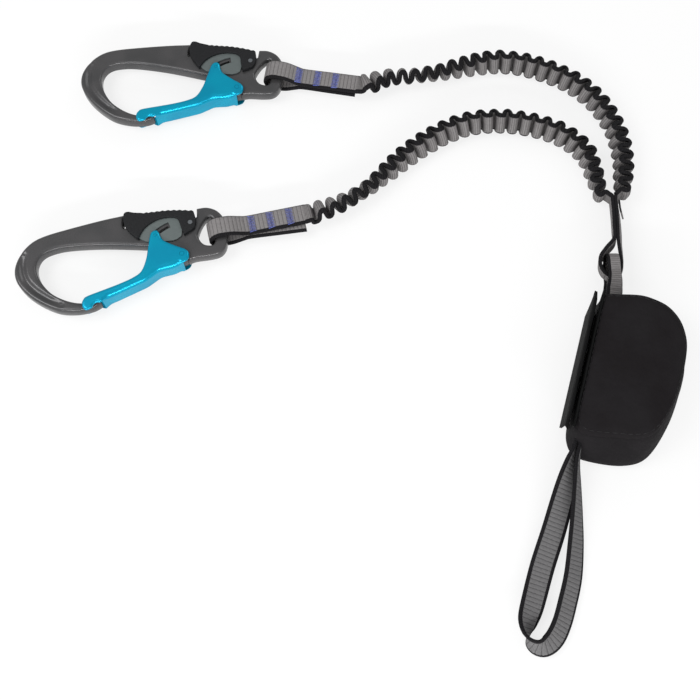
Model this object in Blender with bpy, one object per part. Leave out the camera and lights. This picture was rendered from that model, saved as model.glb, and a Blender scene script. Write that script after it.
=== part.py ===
# Via ferrata lanyard: two palm-lever carabiners on gathered elastic arms, joined at a sewn
# Y strap to a tear-webbing absorber in a fabric pouch, with a tie-in loop below it.
# Metres, +Z up. The lanyard lies on its back on the ground, arms curving to the right.
import math

import bmesh
import bpy
from mathutils import Matrix, Vector
from mathutils.geometry import tessellate_polygon

# Places on the ground. The whole layout is moved so that its box is centred on the origin.
LAYOUT_SHIFT = (0.00349, -0.01817)
LOWER_PLACE = (-0.1001, 0.0587)
UPPER_PLACE = (-0.0715, 0.1743)
UPPER_TURN = -11.65
STRAP_YAW = {"lower": 12.5, "upper": 3.2}
TAIL_YAW = {"lower": -4.5, "upper": -1.0}

# Carabiner: the outlines are shares of its length and width, measured from the gate pivot.
CARABINER_LENGTH = 0.128
CARABINER_WIDTH = 0.068
BODY_THICKNESS = 0.0082
BODY_FILLET = 0.0016
GROOVE_DEPTH = 0.0012
GROOVE_WIDTH = 0.0044
FACE_GAP = 0.0003
BAR_SHARES = (0.168, 0.257)
BAR_WIDTH_SHARE = 0.066
BACK_SHARES = [
    (-0.296, 0.394), (-0.395, 0.347), (-0.537, 0.268), (-0.655, 0.193), (-0.718, 0.121),
    (-0.762, 0.013), (-0.788, -0.118), (-0.773, -0.244), (-0.723, -0.356), (-0.648, -0.453),
    (-0.559, -0.519), (-0.477, -0.529), (-0.409, -0.504), (-0.377, -0.476)]
NOSE_SHARES = [(-0.377, -0.476), (-0.362, -0.447), (-0.372, -0.416), (-0.402, -0.421)]
BASKET_SHARES = [
    (-0.402, -0.421), (-0.453, -0.449), (-0.524, -0.425), (-0.598, -0.359), (-0.652, -0.257),
    (-0.683, -0.153), (-0.684, -0.065), (-0.659, 0.009), (-0.602, 0.057), (-0.523, 0.085),
    (-0.370, 0.100), (-0.180, 0.091), (-0.082, 0.079), (-0.043, 0.036)]
EYE_SHARES = [
    (0.028, -0.047), (0.062, -0.021), (0.133, 0.001), (0.175, 0.028), (0.198, 0.082),
    (0.205, 0.162), (0.200, 0.265), (0.184, 0.368), (0.150, 0.444), (0.102, 0.476), (0.053, 0.464)]
RECESS_SHARES = [
    (0.053, 0.464), (0.056, 0.385), (0.035, 0.359), (-0.062, 0.353), (-0.141, 0.335),
    (-0.219, 0.303), (-0.284, 0.268), (-0.295, 0.300), (-0.296, 0.394)]
EYE_HOLE_SHARES = [
    (0.064, 0.200), (0.081, 0.140), (0.105, 0.108), (0.139, 0.110), (0.149, 0.165),
    (0.138, 0.274), (0.130, 0.358), (0.109, 0.380), (0.088, 0.335), (0.073, 0.268)]
GROOVE_SHARES = [
    (-0.747, -0.029), (-0.742, -0.140), (-0.720, -0.241), (-0.675, -0.329), (-0.613, -0.404),
    (-0.543, -0.462)]

# Gate: a rounded channel that straddles the body and turns about the origin.
GATE_CHEEK = 0.0014
GATE_FILLET = 0.0013
GATE_OPENING = 24
LUG_RADIUS = 0.0044
GATE_RIVET_RADIUS = 0.0013
GATE_PIN_RADIUS = 0.0008
RIVET_GAP = 0.00015
GATE_PIN_SHARES = (-0.1305, 0.1765)
NOTCH_RADIUS = 0.0030
NOTCH_SHARES = (-0.386, -0.512)
GATE_FAR_SHARES = [
    (-0.436, -0.512), (-0.449, -0.490), (-0.452, -0.458), (-0.445, -0.429), (-0.424, -0.397),
    (-0.336, -0.329), (-0.281, -0.284), (-0.220, -0.224), (-0.184, -0.163), (-0.166, -0.049),
    (-0.161, 0.062), (-0.155, 0.185), (-0.145, 0.220), (-0.128, 0.230), (-0.115, 0.211),
    (-0.103, 0.162), (-0.083, 0.124), (-0.027, 0.078), (0.012, 0.052)]
GATE_HEEL_SHARES = [
    (0.012, 0.052), (0.028, 0.026), (0.034, -0.012), (0.030, -0.047), (0.018, -0.070),
    (-0.005, -0.094)]
GATE_NEAR_SHARES = [
    (-0.005, -0.094), (-0.040, -0.128), (-0.074, -0.146), (-0.103, -0.165), (-0.131, -0.206),
    (-0.163, -0.253), (-0.202, -0.293), (-0.285, -0.374), (-0.336, -0.422), (-0.400, -0.489),
    (-0.422, -0.511), (-0.436, -0.512)]
WEB_SHARES = [
    (-0.020, -0.084), (-0.044, -0.103), (-0.078, -0.121), (-0.109, -0.144), (-0.138, -0.185),
    (-0.169, -0.231), (-0.208, -0.271), (-0.291, -0.351), (-0.352, -0.412)]

# Palm lever: a moulded grip that straddles the back, with a steel plate let into each side.
LEVER_SETBACK = 0.0002
LEVER_FILLET = 0.0008
LEVER_PIVOT_SHARES = (0.030, 0.306)
LEVER_RIVET_RADIUS = 0.0014
LEVER_RIB_DEPTH = 0.0005
LEVER_RIBS = 9
PLATE_THICKNESS = 0.0008
PLATE_LAP = 0.0014
PLATE_GAP = 0.0003
SLOT_WIDTH = 0.0040
LEVER_BACK_SHARES = [
    (0.033, 0.428), (-0.030, 0.432), (-0.091, 0.427), (-0.149, 0.413), (-0.204, 0.401)]
LEVER_END_SHARES = [
    (-0.204, 0.401), (-0.240, 0.403), (-0.263, 0.412), (-0.279, 0.406), (-0.287, 0.385),
    (-0.287, 0.337), (-0.278, 0.274), (-0.255, 0.212), (-0.232, 0.174), (-0.211, 0.141),
    (-0.204, 0.163)]
WINDOW_SHARES = [
    (-0.204, 0.163), (-0.191, 0.224), (-0.168, 0.278), (-0.142, 0.314), (-0.116, 0.339),
    (-0.080, 0.354), (-0.053, 0.355), (-0.035, 0.345), (-0.024, 0.321), (-0.014, 0.266),
    (0.005, 0.185)]
LEVER_FRONT_SHARES = [
    (0.005, 0.185), (0.020, 0.206), (0.040, 0.234), (0.052, 0.259), (0.056, 0.297),
    (0.055, 0.338), (0.049, 0.382), (0.042, 0.418)]
LEVER_WEB_SHARES = [
    (-0.340, 0.368), (-0.262, 0.372), (-0.204, 0.365), (-0.125, 0.385), (-0.037, 0.395),
    (0.030, 0.391), (0.120, 0.391), (0.120, -0.100), (-0.340, -0.100)]
PLATE_FOOT_SHARES = [
    (-0.008, 0.185), (-0.025, 0.156), (-0.044, 0.138), (-0.066, 0.132), (-0.094, 0.130),
    (-0.133, 0.122), (-0.171, 0.124), (-0.192, 0.142), (-0.208, 0.163)]

# Springs: a short coil round each rivet, in a pocket of the body.
SPRING_WIRE = 0.00055
SPRING_PITCH = 0.0011
SPRING_TURNS = 2.25
GATE_SPRING_RADIUS = 0.0024
LEVER_SPRING_RADIUS = 0.0021
COIL_GAP = 0.0003

# Webbing: one flat strap width and thickness throughout the lanyard.
STRAP_WIDTH = 0.013
STRAP_THICKNESS = 0.0022
LAYER_GAP = 0.0003
SWING_GAP = 0.0003
LOOP_OPEN = 0.018
LOOP_LENGTH = 0.0515
LOOP_MIDDLE_SHARE = 0.68
LOOP_CURVE_SHARES = [(0.72, 0.42), (0.36, 0.86)]

# Elastic arms: a strap gathered into even waves along a route of (x, y, height, lean) places.
WAVE_TURN = 92
WAVE_STEPS = 8
WAVE_FINE_STEPS = 40
WAVES = {"upper": 29, "lower": 29}
ARM_LEAD = 0.0024
STEM_LEAD = 0.0090
STEM_LEAD_STEPS = 5
UPPER_ROUTE = [
    (0.0130, 0.1805, 0.0088, -56), (0.0185, 0.1832, 0.0086, -36), (0.0252, 0.1853, 0.0083, -22),
    (0.0330, 0.1861, 0.0081, -14), (0.0410, 0.1867, 0.0080, -10),
    (0.0570, 0.1893, 0.0080, -8), (0.0750, 0.1939, 0.0080, -4), (0.0920, 0.1968, 0.0080, 3),
    (0.1080, 0.1957, 0.0080, 9), (0.1240, 0.1909, 0.0080, 10), (0.1370, 0.1846, 0.0080, 9),
    (0.1454, 0.1790, 0.0080, 9), (0.1520, 0.1728, 0.0080, 9), (0.1575, 0.1662, 0.0080, 10),
    (0.1616, 0.1592, 0.0080, 9), (0.1649, 0.1520, 0.0080, 9), (0.1673, 0.1445, 0.0081, 9),
    (0.1688, 0.1370, 0.0082, 9), (0.1695, 0.1290, 0.0084, 8), (0.1694, 0.1210, 0.0087, 7),
    (0.1686, 0.1140, 0.0090, 6), (0.1664, 0.1078, 0.0096, 4),
    (0.1646, 0.1042, 0.0100, 2), (0.1630, 0.1017, 0.0103, 0)]
LOWER_ROUTE = [
    (-0.0200, 0.0893, 0.0088, -56), (-0.0115, 0.0926, 0.0084, -32),
    (-0.0030, 0.0970, 0.0081, -14), (0.0050, 0.1019, 0.0080, -2),
    (0.0125, 0.1074, 0.0080, 6), (0.0235, 0.1176, 0.0080, 12), (0.0310, 0.1246, 0.0080, 14),
    (0.0380, 0.1306, 0.0080, 15), (0.0450, 0.1358, 0.0080, 16), (0.0515, 0.1402, 0.0080, 16),
    (0.0580, 0.1440, 0.0080, 15), (0.0646, 0.1473, 0.0080, 15), (0.0720, 0.1502, 0.0080, 14),
    (0.0810, 0.1522, 0.0080, 13), (0.0897, 0.1530, 0.0080, 12), (0.0983, 0.1528, 0.0080, 10),
    (0.1062, 0.1518, 0.0080, 10), (0.1150, 0.1500, 0.0080, 10), (0.1227, 0.1478, 0.0080, 9),
    (0.1303, 0.1446, 0.0080, 7), (0.1374, 0.1400, 0.0081, 6), (0.1432, 0.1344, 0.0083, 5),
    (0.1474, 0.1280, 0.0086, 4), (0.1502, 0.1210, 0.0090, 3), (0.1522, 0.1140, 0.0093, 3),
    (0.1549, 0.1078, 0.0098, 2), (0.1567, 0.1042, 0.0101, 1), (0.1583, 0.1017, 0.0103, 0)]

# Y strap: the joined ends of the arms, sewn as a stem, with a drop-shaped loop at the foot.
STEM_PLACE = (0.1607, 0.0968)
STEM_LENGTH = 0.029
STEM_DRIFT = -0.0012
STEM_HEIGHT = 0.0104
DROP_LENGTH = 0.0238
DROP_WIDTH = 0.0140
DROP_PINCH_SHARE = 0.58
DROP_FOOT_SHARE = -0.18
DROP_SHARES = [
    (0.09, 0.24), (0.24, 0.475), (0.31, 0.706), (0.21, 0.895), (DROP_FOOT_SHARE, 1.0),
    (-0.57, 0.895), (-0.69, 0.706), (-0.61, 0.475), (-0.34, 0.24)]

# Absorber: a pack of tear webbing in a pouch, with a loop at each end of the pack.
LINK_REACH = 0.0112
LINK_HALF = 0.0060
LINK_LEAN = 35
LINK_LENGTH = 0.0245
LINK_PINCH_SHARE = 0.62
LINK_FLAT_SHARE = 0.72
LINK_CURVE_SHARES = [(0.52, 0.45), (0.34, 0.82), (0.17, 1.0)]
POUCH_PLACE = (0.1315, -0.0080)
POUCH_TURN = -16
POUCH_WIDTH = 0.059
POUCH_LENGTH = 0.099
POUCH_WALL = 0.0015
POUCH_SEAM = 0.0245
POUCH_HEIGHT = 0.0305
SEAM_GAP = 0.0003
POUCH_BASE_SHARES = [
    (0.052, 0.360), (0.072, 0.398), (0.231, 0.419), (0.407, 0.438), (0.545, 0.440), (0.695, 0.422),
    (0.846, 0.366), (0.942, 0.293), (1.003, 0.205), (1.034, 0.073), (1.027, -0.081),
    (0.978, -0.250), (0.896, -0.394), (0.802, -0.476), (0.653, -0.523), (0.461, -0.546),
    (0.246, -0.552), (0.144, -0.529), (0.080, -0.474), (0.052, -0.395), (0.052, -0.250),
    (0.052, -0.080), (0.052, 0.100), (0.052, 0.260)]
POUCH_FRONT_SHARES = [
    (0.064, 0.350), (0.086, 0.386), (0.231, 0.412), (0.412, 0.437), (0.542, 0.436), (0.695, 0.414),
    (0.820, 0.359), (0.900, 0.287), (0.949, 0.198), (0.963, 0.071), (0.954, -0.061),
    (0.915, -0.208), (0.841, -0.325), (0.763, -0.388), (0.636, -0.422), (0.459, -0.445),
    (0.251, -0.471), (0.153, -0.469), (0.088, -0.434), (0.064, -0.380), (0.064, -0.250),
    (0.064, -0.080), (0.064, 0.100), (0.064, 0.260)]

# Levels of the tray as (height, inset, mix of the two outlines), and of the front panel as
# (inset, rise). Heights are shares of the seam's height or the crown's rise, insets of the width.
TRAY_SHARES = [
    (0.0, 0.068, 0.0), (0.049, 0.029, 0.0), (0.163, 0.005, 0.0), (0.367, 0.0, 0.0),
    (0.68, 0.0, 0.42), (1.0, 0.0, 1.0)]
CROWN_SHARES = [(0.0, 0.0), (0.0, 0.25), (0.020, 0.62), (0.085, 0.90), (0.187, 1.0)]

# Closing flap: (along its lip, up from the hinge to the top) shares of its section, the ends as
# shares of the pouch's length, and how far the lip falls back at the pointed end.
FLAP_THICKNESS = 0.0013
FLAP_HINGE_HEIGHT = 0.0035
FLAP_LIP = 0.0048
FLAP_TOP = 0.0296
FLAP_SECTION_SHARES = [
    (0.0, 0.0), (0.0, 0.33), (0.0, 0.72), (0.22, 0.89), (0.58, 0.965), (1.0, 1.0)]
FLAP_TOP_SHARE = 0.405
FLAP_FOOT_SHARE = -0.400
FLAP_POINT_SHARE = 1.0
FLAP_STATION_SHARES = (0, 0.25, 0.5, 0.75, 0.93, 1)
CLOSURE_THICKNESS = 0.0009
CLOSURE_LENGTH = 0.062
CLOSURE_WIDTH = 0.011

# Slots in the pouch's ends for the two loops: the place as shares of the pouch's width and
# length, then the slot's width, bottom and top as shares of the strap's width.
TOP_SLOT_SHARES = (0.237, 0.44, 1.19, 0.27, 1.385)
FOOT_SLOT_SHARES = (0.180, -0.52, 0.92, 0.23, 1.475)
SLOT_REACH_SHARE = 0.125

# Tear pack: the absorber webbing folded to and fro on edge.
PACK_WIDTH = 0.018
PACK_LENGTH = 0.0594
PACK_LEGS = 11
PACK_GAP = 0.0006
PACK_START_SHARE = 0.20
PACK_LOOP_GAP = 0.0028

# Tie-in loop: (across, along) shares of its size and (height) shares of the strap's width, with
# the lean, measured from the pouch's end.
TIE_PLACE = (0.1276, -0.0599)
TIE_LENGTH = 0.108
TIE_WIDTH = 0.034
TIE_ROUTE_SHARES = [
    (0.141, 0.165, 0.885, -8), (-0.035, 0.003, 0.846, -12), (-0.106, -0.070, 0.785, -25),
    (-0.209, -0.186, 0.692, -45), (-0.312, -0.293, 0.600, -56), (-0.459, -0.431, 0.508, -60),
    (-0.665, -0.603, 0.462, -62), (-0.856, -0.788, 0.477, -58), (-0.950, -0.871, 0.508, -45),
    (-0.982, -0.931, 0.538, -20), (-0.935, -0.976, 0.554, 5), (-0.826, -0.999, 0.554, 25),
    (-0.679, -0.994, 0.538, 38), (-0.524, -0.955, 0.538, 40), (-0.391, -0.884, 0.554, 36),
    (-0.282, -0.788, 0.569, 33), (-0.156, -0.649, 0.577, 30), (-0.085, -0.484, 0.585, 29),
    (-0.047, -0.331, 0.631, 27), (-0.024, -0.186, 0.723, 22), (-0.006, -0.075, 0.800, 16),
    (0.035, -0.004, 0.846, 12), (0.212, 0.159, 0.885, 8)]

CUT_OVERRUN = 0.004
ROUND_SIDES = 16
WIRE_SIDES = 6


# Shapes in the plane

def spot(shares):
    """A place on the carabiner, given as shares of its length and width."""
    return Vector((shares[0] * CARABINER_LENGTH, shares[1] * CARABINER_WIDTH))


def spots(table):
    return [spot(shares) for shares in table]


def smooth_run(points, steps):
    """A smooth curve through every point, with steps pieces between two points."""
    padded = [points[0] * 2 - points[1], *points, points[-1] * 2 - points[-2]]
    run = []
    for before, start, end, after in zip(padded, padded[1:], padded[2:], padded[3:]):
        for step in range(steps):
            t = step / steps
            run.append(0.5 * (2 * start + (end - before) * t
                              + (2 * before - 5 * start + 4 * end - after) * t ** 2
                              + (3 * start - before - 3 * end + after) * t ** 3))
    run.append(points[-1].copy())
    return run


def smooth_ring(points, steps):
    """The same kind of curve, closed on itself."""
    count = len(points)
    run = smooth_run([points[k % count] for k in range(-2, count + 3)], steps)
    return run[2 * steps:(count + 2) * steps]


def arc(centre, radius, start, end, steps):
    angles = [math.radians(start + (end - start) * step / steps) for step in range(steps + 1)]
    return [centre + radius * Vector((math.cos(angle), math.sin(angle))) for angle in angles]


def joined(*runs):
    """One closed outline from runs that follow each other, without doubled points."""
    outline = []
    for point in [point for run in runs for point in run]:
        if not outline or (point - outline[-1]).length > RIVET_GAP:
            outline.append(point)
    if (outline[0] - outline[-1]).length <= RIVET_GAP:
        outline.pop()
    return counterclockwise(outline)


def counterclockwise(outline):
    area = sum(a.x * b.y - b.x * a.y for a, b in zip(outline, outline[1:] + outline[:1]))
    return outline if area > 0 else outline[::-1]


def clear_reach(point, normal, edges):
    """Radius of the largest circle that touches the edges at this point alone."""
    reach = math.inf
    for other in edges:
        away = other - point
        rise = away.dot(normal)
        if rise > 0:
            reach = min(reach, away.length_squared / (2 * rise))
    return reach


def inset(outline, distance, edges=None):
    """The outline moved to its left by a distance, or less where it would meet an edge."""
    moved = []
    edges = edges or outline
    for before, point, after in zip(outline[-1:] + outline[:-1], outline, outline[1:] + outline[:1]):
        first = (point - before).normalized()
        second = (after - point).normalized()
        normal = Vector((-first.y - second.y, first.x + second.x)).normalized()
        step = distance / max(normal.dot(Vector((-first.y, first.x))), 0.5)
        moved.append(point + normal * min(step, 0.9 * clear_reach(point, normal, edges)))
    return moved


# Solids

def material(name, colour, roughness, metallic=0.0):
    finish = bpy.data.materials.get(name) or bpy.data.materials.new(name)
    finish.use_nodes = True
    shader = finish.node_tree.nodes["Principled BSDF"]
    shader.inputs["Base Color"].default_value = (*colour, 1)
    shader.inputs["Roughness"].default_value = roughness
    shader.inputs["Metallic"].default_value = metallic
    return finish


def make_object(name, vertices, faces, finish, sharp=35):
    mesh = bpy.data.meshes.new(name)
    mesh.from_pydata(vertices, [], faces)
    shape = bmesh.new()
    shape.from_mesh(mesh)
    bmesh.ops.recalc_face_normals(shape, faces=shape.faces)
    shape.to_mesh(mesh)
    shape.free()
    mesh.shade_smooth()
    mesh.set_sharp_from_angle(angle=math.radians(sharp))
    mesh.materials.append(finish)
    part = bpy.data.objects.new(name, mesh)
    bpy.context.scene.collection.objects.link(part)
    return part


def stack(name, layers, finish, sharp=35, lid=True):
    """A closed solid through rings of equal count; lid closes both ends, or the ends meet."""
    count = len(layers[0])
    vertices = [vertex for layer in layers for vertex in layer]
    pairs = len(layers) - 1 if lid else len(layers)
    faces = []
    for level in range(pairs):
        low, high = level * count, (level + 1) % len(layers) * count
        for side in range(count):
            after = (side + 1) % count
            faces.append((low + side, low + after, high + after, high + side))
    if lid:
        for base, ring in ((0, layers[0]), (count * (len(layers) - 1), layers[-1])):
            for triangle in tessellate_polygon([ring]):
                faces.append(tuple(base + corner for corner in triangle))
    return make_object(name, vertices, faces, finish, sharp)


def edge_rounds(low, high, fillet, steps):
    """Pairs of height and inset that round both edges of a plate."""
    if not fillet:
        return [(low, 0), (high, 0)]
    turns = [math.radians(90 * step / steps) for step in range(steps + 1)]
    bottom = [(low + fillet * (1 - math.sin(turn)), fillet * (1 - math.cos(turn))) for turn in turns]
    top = [(high - height + low, distance) for height, distance in bottom]
    return bottom[::-1] + top


def plate(name, outline, low, high, finish, fillet=0, holes=(), steps=2):
    """A flat piece of an outline and its holes, with every edge rounded alike."""
    loops = [counterclockwise(outline)] + [counterclockwise(hole)[::-1] for hole in holes]
    levels = edge_rounds(low, high, fillet, steps)
    edges = [point for loop in loops for point in loop]
    vertices, faces, ends = [], [], {0: [], len(levels) - 1: []}
    for loop in loops:
        base, count = len(vertices), len(loop)
        for level, (height, distance) in enumerate(levels):
            ring = [Vector((*point, height)) for point in inset(loop, distance, edges)]
            vertices += ring
            if level in ends:
                ends[level].append((base + level * count, ring))
        for level in range(len(levels) - 1):
            low_row, high_row = base + level * count, base + (level + 1) * count
            for side in range(count):
                after = (side + 1) % count
                faces.append((low_row + side, low_row + after, high_row + after, high_row + side))
    for rings in ends.values():
        index = [start + corner for start, ring in rings for corner in range(len(ring))]
        for triangle in tessellate_polygon([ring for _, ring in rings]):
            faces.append(tuple(index[corner] for corner in triangle))
    return make_object(name, vertices, faces, finish)


def turned(name, centre, levels, finish):
    """A round solid through (radius, height) levels."""
    rings = []
    for radius, height in levels:
        ring = arc(centre, radius, 0, 360, ROUND_SIDES)[:-1]
        rings.append([Vector((*point, height)) for point in ring])
    return stack(name, rings, finish)


def disc(name, centre, radius, low, high, finish):
    return turned(name, centre, [(radius, low), (radius, high)], finish)


def cut(part, cutter):
    """Takes the cutter's shape out of the part and hides the cutter."""
    cutter.hide_render = True
    cutter.display_type = "WIRE"
    cutter.parent = part.parent
    cutter.location = part.location
    cutter.rotation_euler = part.rotation_euler
    modifier = part.modifiers.new("cut " + cutter.name, "BOOLEAN")
    modifier.operation = "DIFFERENCE"
    modifier.solver = "EXACT"
    modifier.object = cutter


def frame(name, place, turn=0, parent=None):
    """An empty that carries what moves or is placed with it."""
    empty = bpy.data.objects.new(name, None)
    bpy.context.scene.collection.objects.link(empty)
    empty.location = place
    empty.rotation_euler = (0, 0, math.radians(turn))
    empty.parent = parent
    return empty


def carry(parts, empty, offset):
    """Hangs parts on an empty that stands at offset in the coordinates of their meshes."""
    for part in parts:
        part.parent = empty
        part.location = -Vector(offset)
    return parts


# Straps

def sweep_strap(name, stations, finish):
    """A flat strap through stations of centre, unit side vector and width."""
    centres = [centre for centre, _, _ in stations]
    layers = []
    for index, (centre, side, width) in enumerate(stations):
        before = centres[max(index - 1, 0)]
        after = centres[min(index + 1, len(centres) - 1)]
        inward = (centre - before).normalized() if index else (after - centre).normalized()
        outward = (after - centre).normalized() if index < len(centres) - 1 else inward
        along = (inward + outward).normalized()
        face = along.cross(side).normalized()
        bend = max(along.dot(inward), 0.75)
        across = side * width / 2
        rise = face * STRAP_THICKNESS / 2 / bend
        layers.append([centre + across + rise, centre - across + rise,
                       centre - across - rise, centre + across - rise])
    return stack(name, layers, finish)


def leaning_side(along, lean):
    """The width direction of a strap on edge, leaned to the left of its run."""
    left = Vector((-along.y, along.x, 0)).normalized()
    angle = math.radians(lean)
    return (Vector((0, 0, 1)) * math.cos(angle) + left * math.sin(angle)).normalized()


def route_stations(route, steps, width=STRAP_WIDTH):
    """Even stations along a smooth curve through (x, y, height, lean) places."""
    run = smooth_run([Vector(place) for place in route], steps)
    stations = []
    for index, place in enumerate(run):
        along = (run[min(index + 1, len(run) - 1)] - run[max(index - 1, 0)]).xyz
        stations.append((place.xyz, leaning_side(along, place.w), width))
    return stations


def wave_profile(waves, pitch, steps):
    """Along and across places of an even meander that starts and ends on its middle line."""
    places = [(0.0, 0.0)]
    for step in range(waves * WAVE_FINE_STEPS):
        turn = math.radians(WAVE_TURN) * math.sin(math.tau * (step + 0.5) / WAVE_FINE_STEPS)
        along, across = places[-1]
        places.append((along + math.cos(turn), across + math.sin(turn)))
    scale = waves * pitch / places[-1][0]
    middle = max(across for _, across in places) / 2
    profile = []
    for step in range(waves * steps + 1):
        along, across = places[step * WAVE_FINE_STEPS // steps]
        settle = min(step, waves * steps - step, steps // 2) / (steps // 2)
        profile.append((along * scale, (across - middle * settle) * scale))
    return profile


def along_route(run, lengths, distance):
    """Position, direction and lean of a smooth run at a distance from its start."""
    index = max(k for k, length in enumerate(lengths[:-1]) if length <= distance)
    span = lengths[index + 1] - lengths[index]
    place = run[index].lerp(run[index + 1], (distance - lengths[index]) / span)
    before, after = run[max(index - 1, 0)], run[min(index + 2, len(run) - 1)]
    return place.xyz, (after - before).xyz.normalized(), place.w


def arm_ends(side, place, turn):
    """The straight leads of an arm: off its webbing loop, and onto its leg of the stem."""
    layer = (STRAP_THICKNESS + LAYER_GAP) / 2
    bar = Vector(place) + Matrix.Rotation(math.radians(turn), 2) @ spot(BAR_SHARES)
    heading = math.radians(turn + STRAP_YAW[side])
    along = Vector((math.cos(heading), math.sin(heading)))
    height = carabiner_height() + layer
    start = LOOP_LENGTH + LAYER_GAP
    leads = [(*(bar + along * (start + reach)), height, -90)
             for reach in (0, ARM_LEAD, 2 * ARM_LEAD)]
    leg = layer if side == "upper" else -layer
    up = Vector((-STEM_DRIFT, STEM_LENGTH)).normalized()
    top = Vector((STEM_PLACE[0] + leg, STEM_PLACE[1]))
    ends = [(*(top + up * (LAYER_GAP + reach)), STEM_HEIGHT, 0)
            for reach in (ARM_LEAD, 0)]
    return leads, ends


def gathered_arm(side, place, turn, route, finish):
    """The elastic arm: a strap gathered into waves square to its own face."""
    leads, ends = arm_ends(side, place, turn)
    run = smooth_run([Vector(point) for point in leads + route + ends], 6)
    lengths = [0.0]
    for start, end in zip(run, run[1:]):
        lengths.append(lengths[-1] + (end - start).xyz.length)
    pitch = (lengths[-1] - ARM_LEAD - STEM_LEAD) / WAVES[side]
    profile = [(0, 0)] + [(ARM_LEAD + along, across)
                          for along, across in wave_profile(WAVES[side], pitch, WAVE_STEPS)]
    for step in range(1, STEM_LEAD_STEPS + 1):
        profile.append((lengths[-1] - STEM_LEAD * (1 - step / STEM_LEAD_STEPS), 0))
    stations = []
    for distance, across in profile:
        place, along, lean = along_route(run, lengths, min(max(distance, 0), lengths[-1]))
        width_side = leaning_side(along, lean)
        face = along.cross(width_side).normalized()
        stations.append((place + face * across, width_side, STRAP_WIDTH))
    report_gap(side, [centre for centre, _, _ in stations])
    return sweep_strap(side + "_elastic_arm", stations, finish)


def report_gap(side, centres):
    """Prints the least clear gap between two flanks of the same arm."""
    fine = [start.lerp(end, t / 4) for start, end in zip(centres, centres[1:]) for t in range(4)]
    apart = WAVE_STEPS * 4 // 2 - 6
    least = min((fine[a] - fine[b]).length for a in range(len(fine))
                for b in range(a + apart, min(a + 4 * apart, len(fine))))
    print(f"{side} arm: least gap between waves {1000 * (least - STRAP_THICKNESS):.2f} mm")


# Carabiner

def body_outline():
    lug = arc(Vector((0, 0)), LUG_RADIUS, 150, 330, 10)
    return joined(
        smooth_run(spots(BACK_SHARES), 2), smooth_run(spots(NOSE_SHARES), 2),
        smooth_run(spots(BASKET_SHARES), 2), lug,
        smooth_run(spots(EYE_SHARES), 2), spots(RECESS_SHARES))


def bend_groove():
    """The outline of the recess that lightens the outer bend on each face."""
    middle = smooth_run(spots(GROOVE_SHARES), 2)
    left, right = [], []
    for index, point in enumerate(middle):
        along = (middle[min(index + 1, len(middle) - 1)] - middle[max(index - 1, 0)]).normalized()
        taper = math.sin(math.pi * (index + 1) / (len(middle) + 1)) ** 0.5
        across = Vector((-along.y, along.x)) * GROOVE_WIDTH / 2 * taper
        left.append(point + across)
        right.append(point - across)
    return left + right[::-1]


def rivet_bore(name, centre, rivet, spring, finish):
    """A bore for the rivet that opens at the front into a pocket for the coil."""
    half = BODY_THICKNESS / 2
    deep = half - SPRING_TURNS * SPRING_PITCH - SPRING_WIRE - 2 * COIL_GAP
    narrow = rivet + RIVET_GAP
    wide = spring + SPRING_WIRE / 2 + COIL_GAP
    levels = [(narrow, -half - CUT_OVERRUN), (narrow, deep), (wide, deep), (wide, half + CUT_OVERRUN)]
    return turned(name, centre, levels, finish)


def pin_slot_outline():
    """The arc that the gate pin sweeps, with room for the pin."""
    pin = spot(GATE_PIN_SHARES)
    rest = math.degrees(math.atan2(pin.y, pin.x))
    room = GATE_PIN_RADIUS + FACE_GAP
    spare = math.degrees(room / pin.length)
    outer = arc(Vector((0, 0)), pin.length + room, rest + spare, rest - GATE_OPENING - spare, 8)
    inner = arc(Vector((0, 0)), pin.length - room, rest - GATE_OPENING - spare, rest + spare, 8)
    return outer + inner


def carabiner_body(side, finish):
    half = BODY_THICKNESS / 2
    name = side + "_carabiner_body"
    hole = smooth_ring(spots(EYE_HOLE_SHARES), 2)
    body = plate(name, body_outline(), -half, half, finish, BODY_FILLET, [hole])
    reach = half + CUT_OVERRUN
    for face, low, high in (("front", half - GROOVE_DEPTH, reach), ("back", -reach, GROOVE_DEPTH - half)):
        cut(body, plate(f"{side}_{face}_groove_cutter", bend_groove(), low, high, finish))
    cut(body, plate(side + "_slot_cutter", pin_slot_outline(), -reach, reach, finish))
    cut(body, rivet_bore(side + "_gate_bore_cutter", Vector((0, 0)), GATE_RIVET_RADIUS,
                         GATE_SPRING_RADIUS, finish))
    cut(body, rivet_bore(side + "_lever_bore_cutter", spot(LEVER_PIVOT_SHARES), LEVER_RIVET_RADIUS,
                         LEVER_SPRING_RADIUS, finish))
    return body


def plate_faces():
    """Heights of the lower and upper face of the steel plate on the front side."""
    low = BODY_THICKNESS / 2 + FACE_GAP
    return low, low + PLATE_THICKNESS


def gate_faces():
    inner = plate_faces()[1] + FACE_GAP
    return inner, inner + GATE_CHEEK


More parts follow.
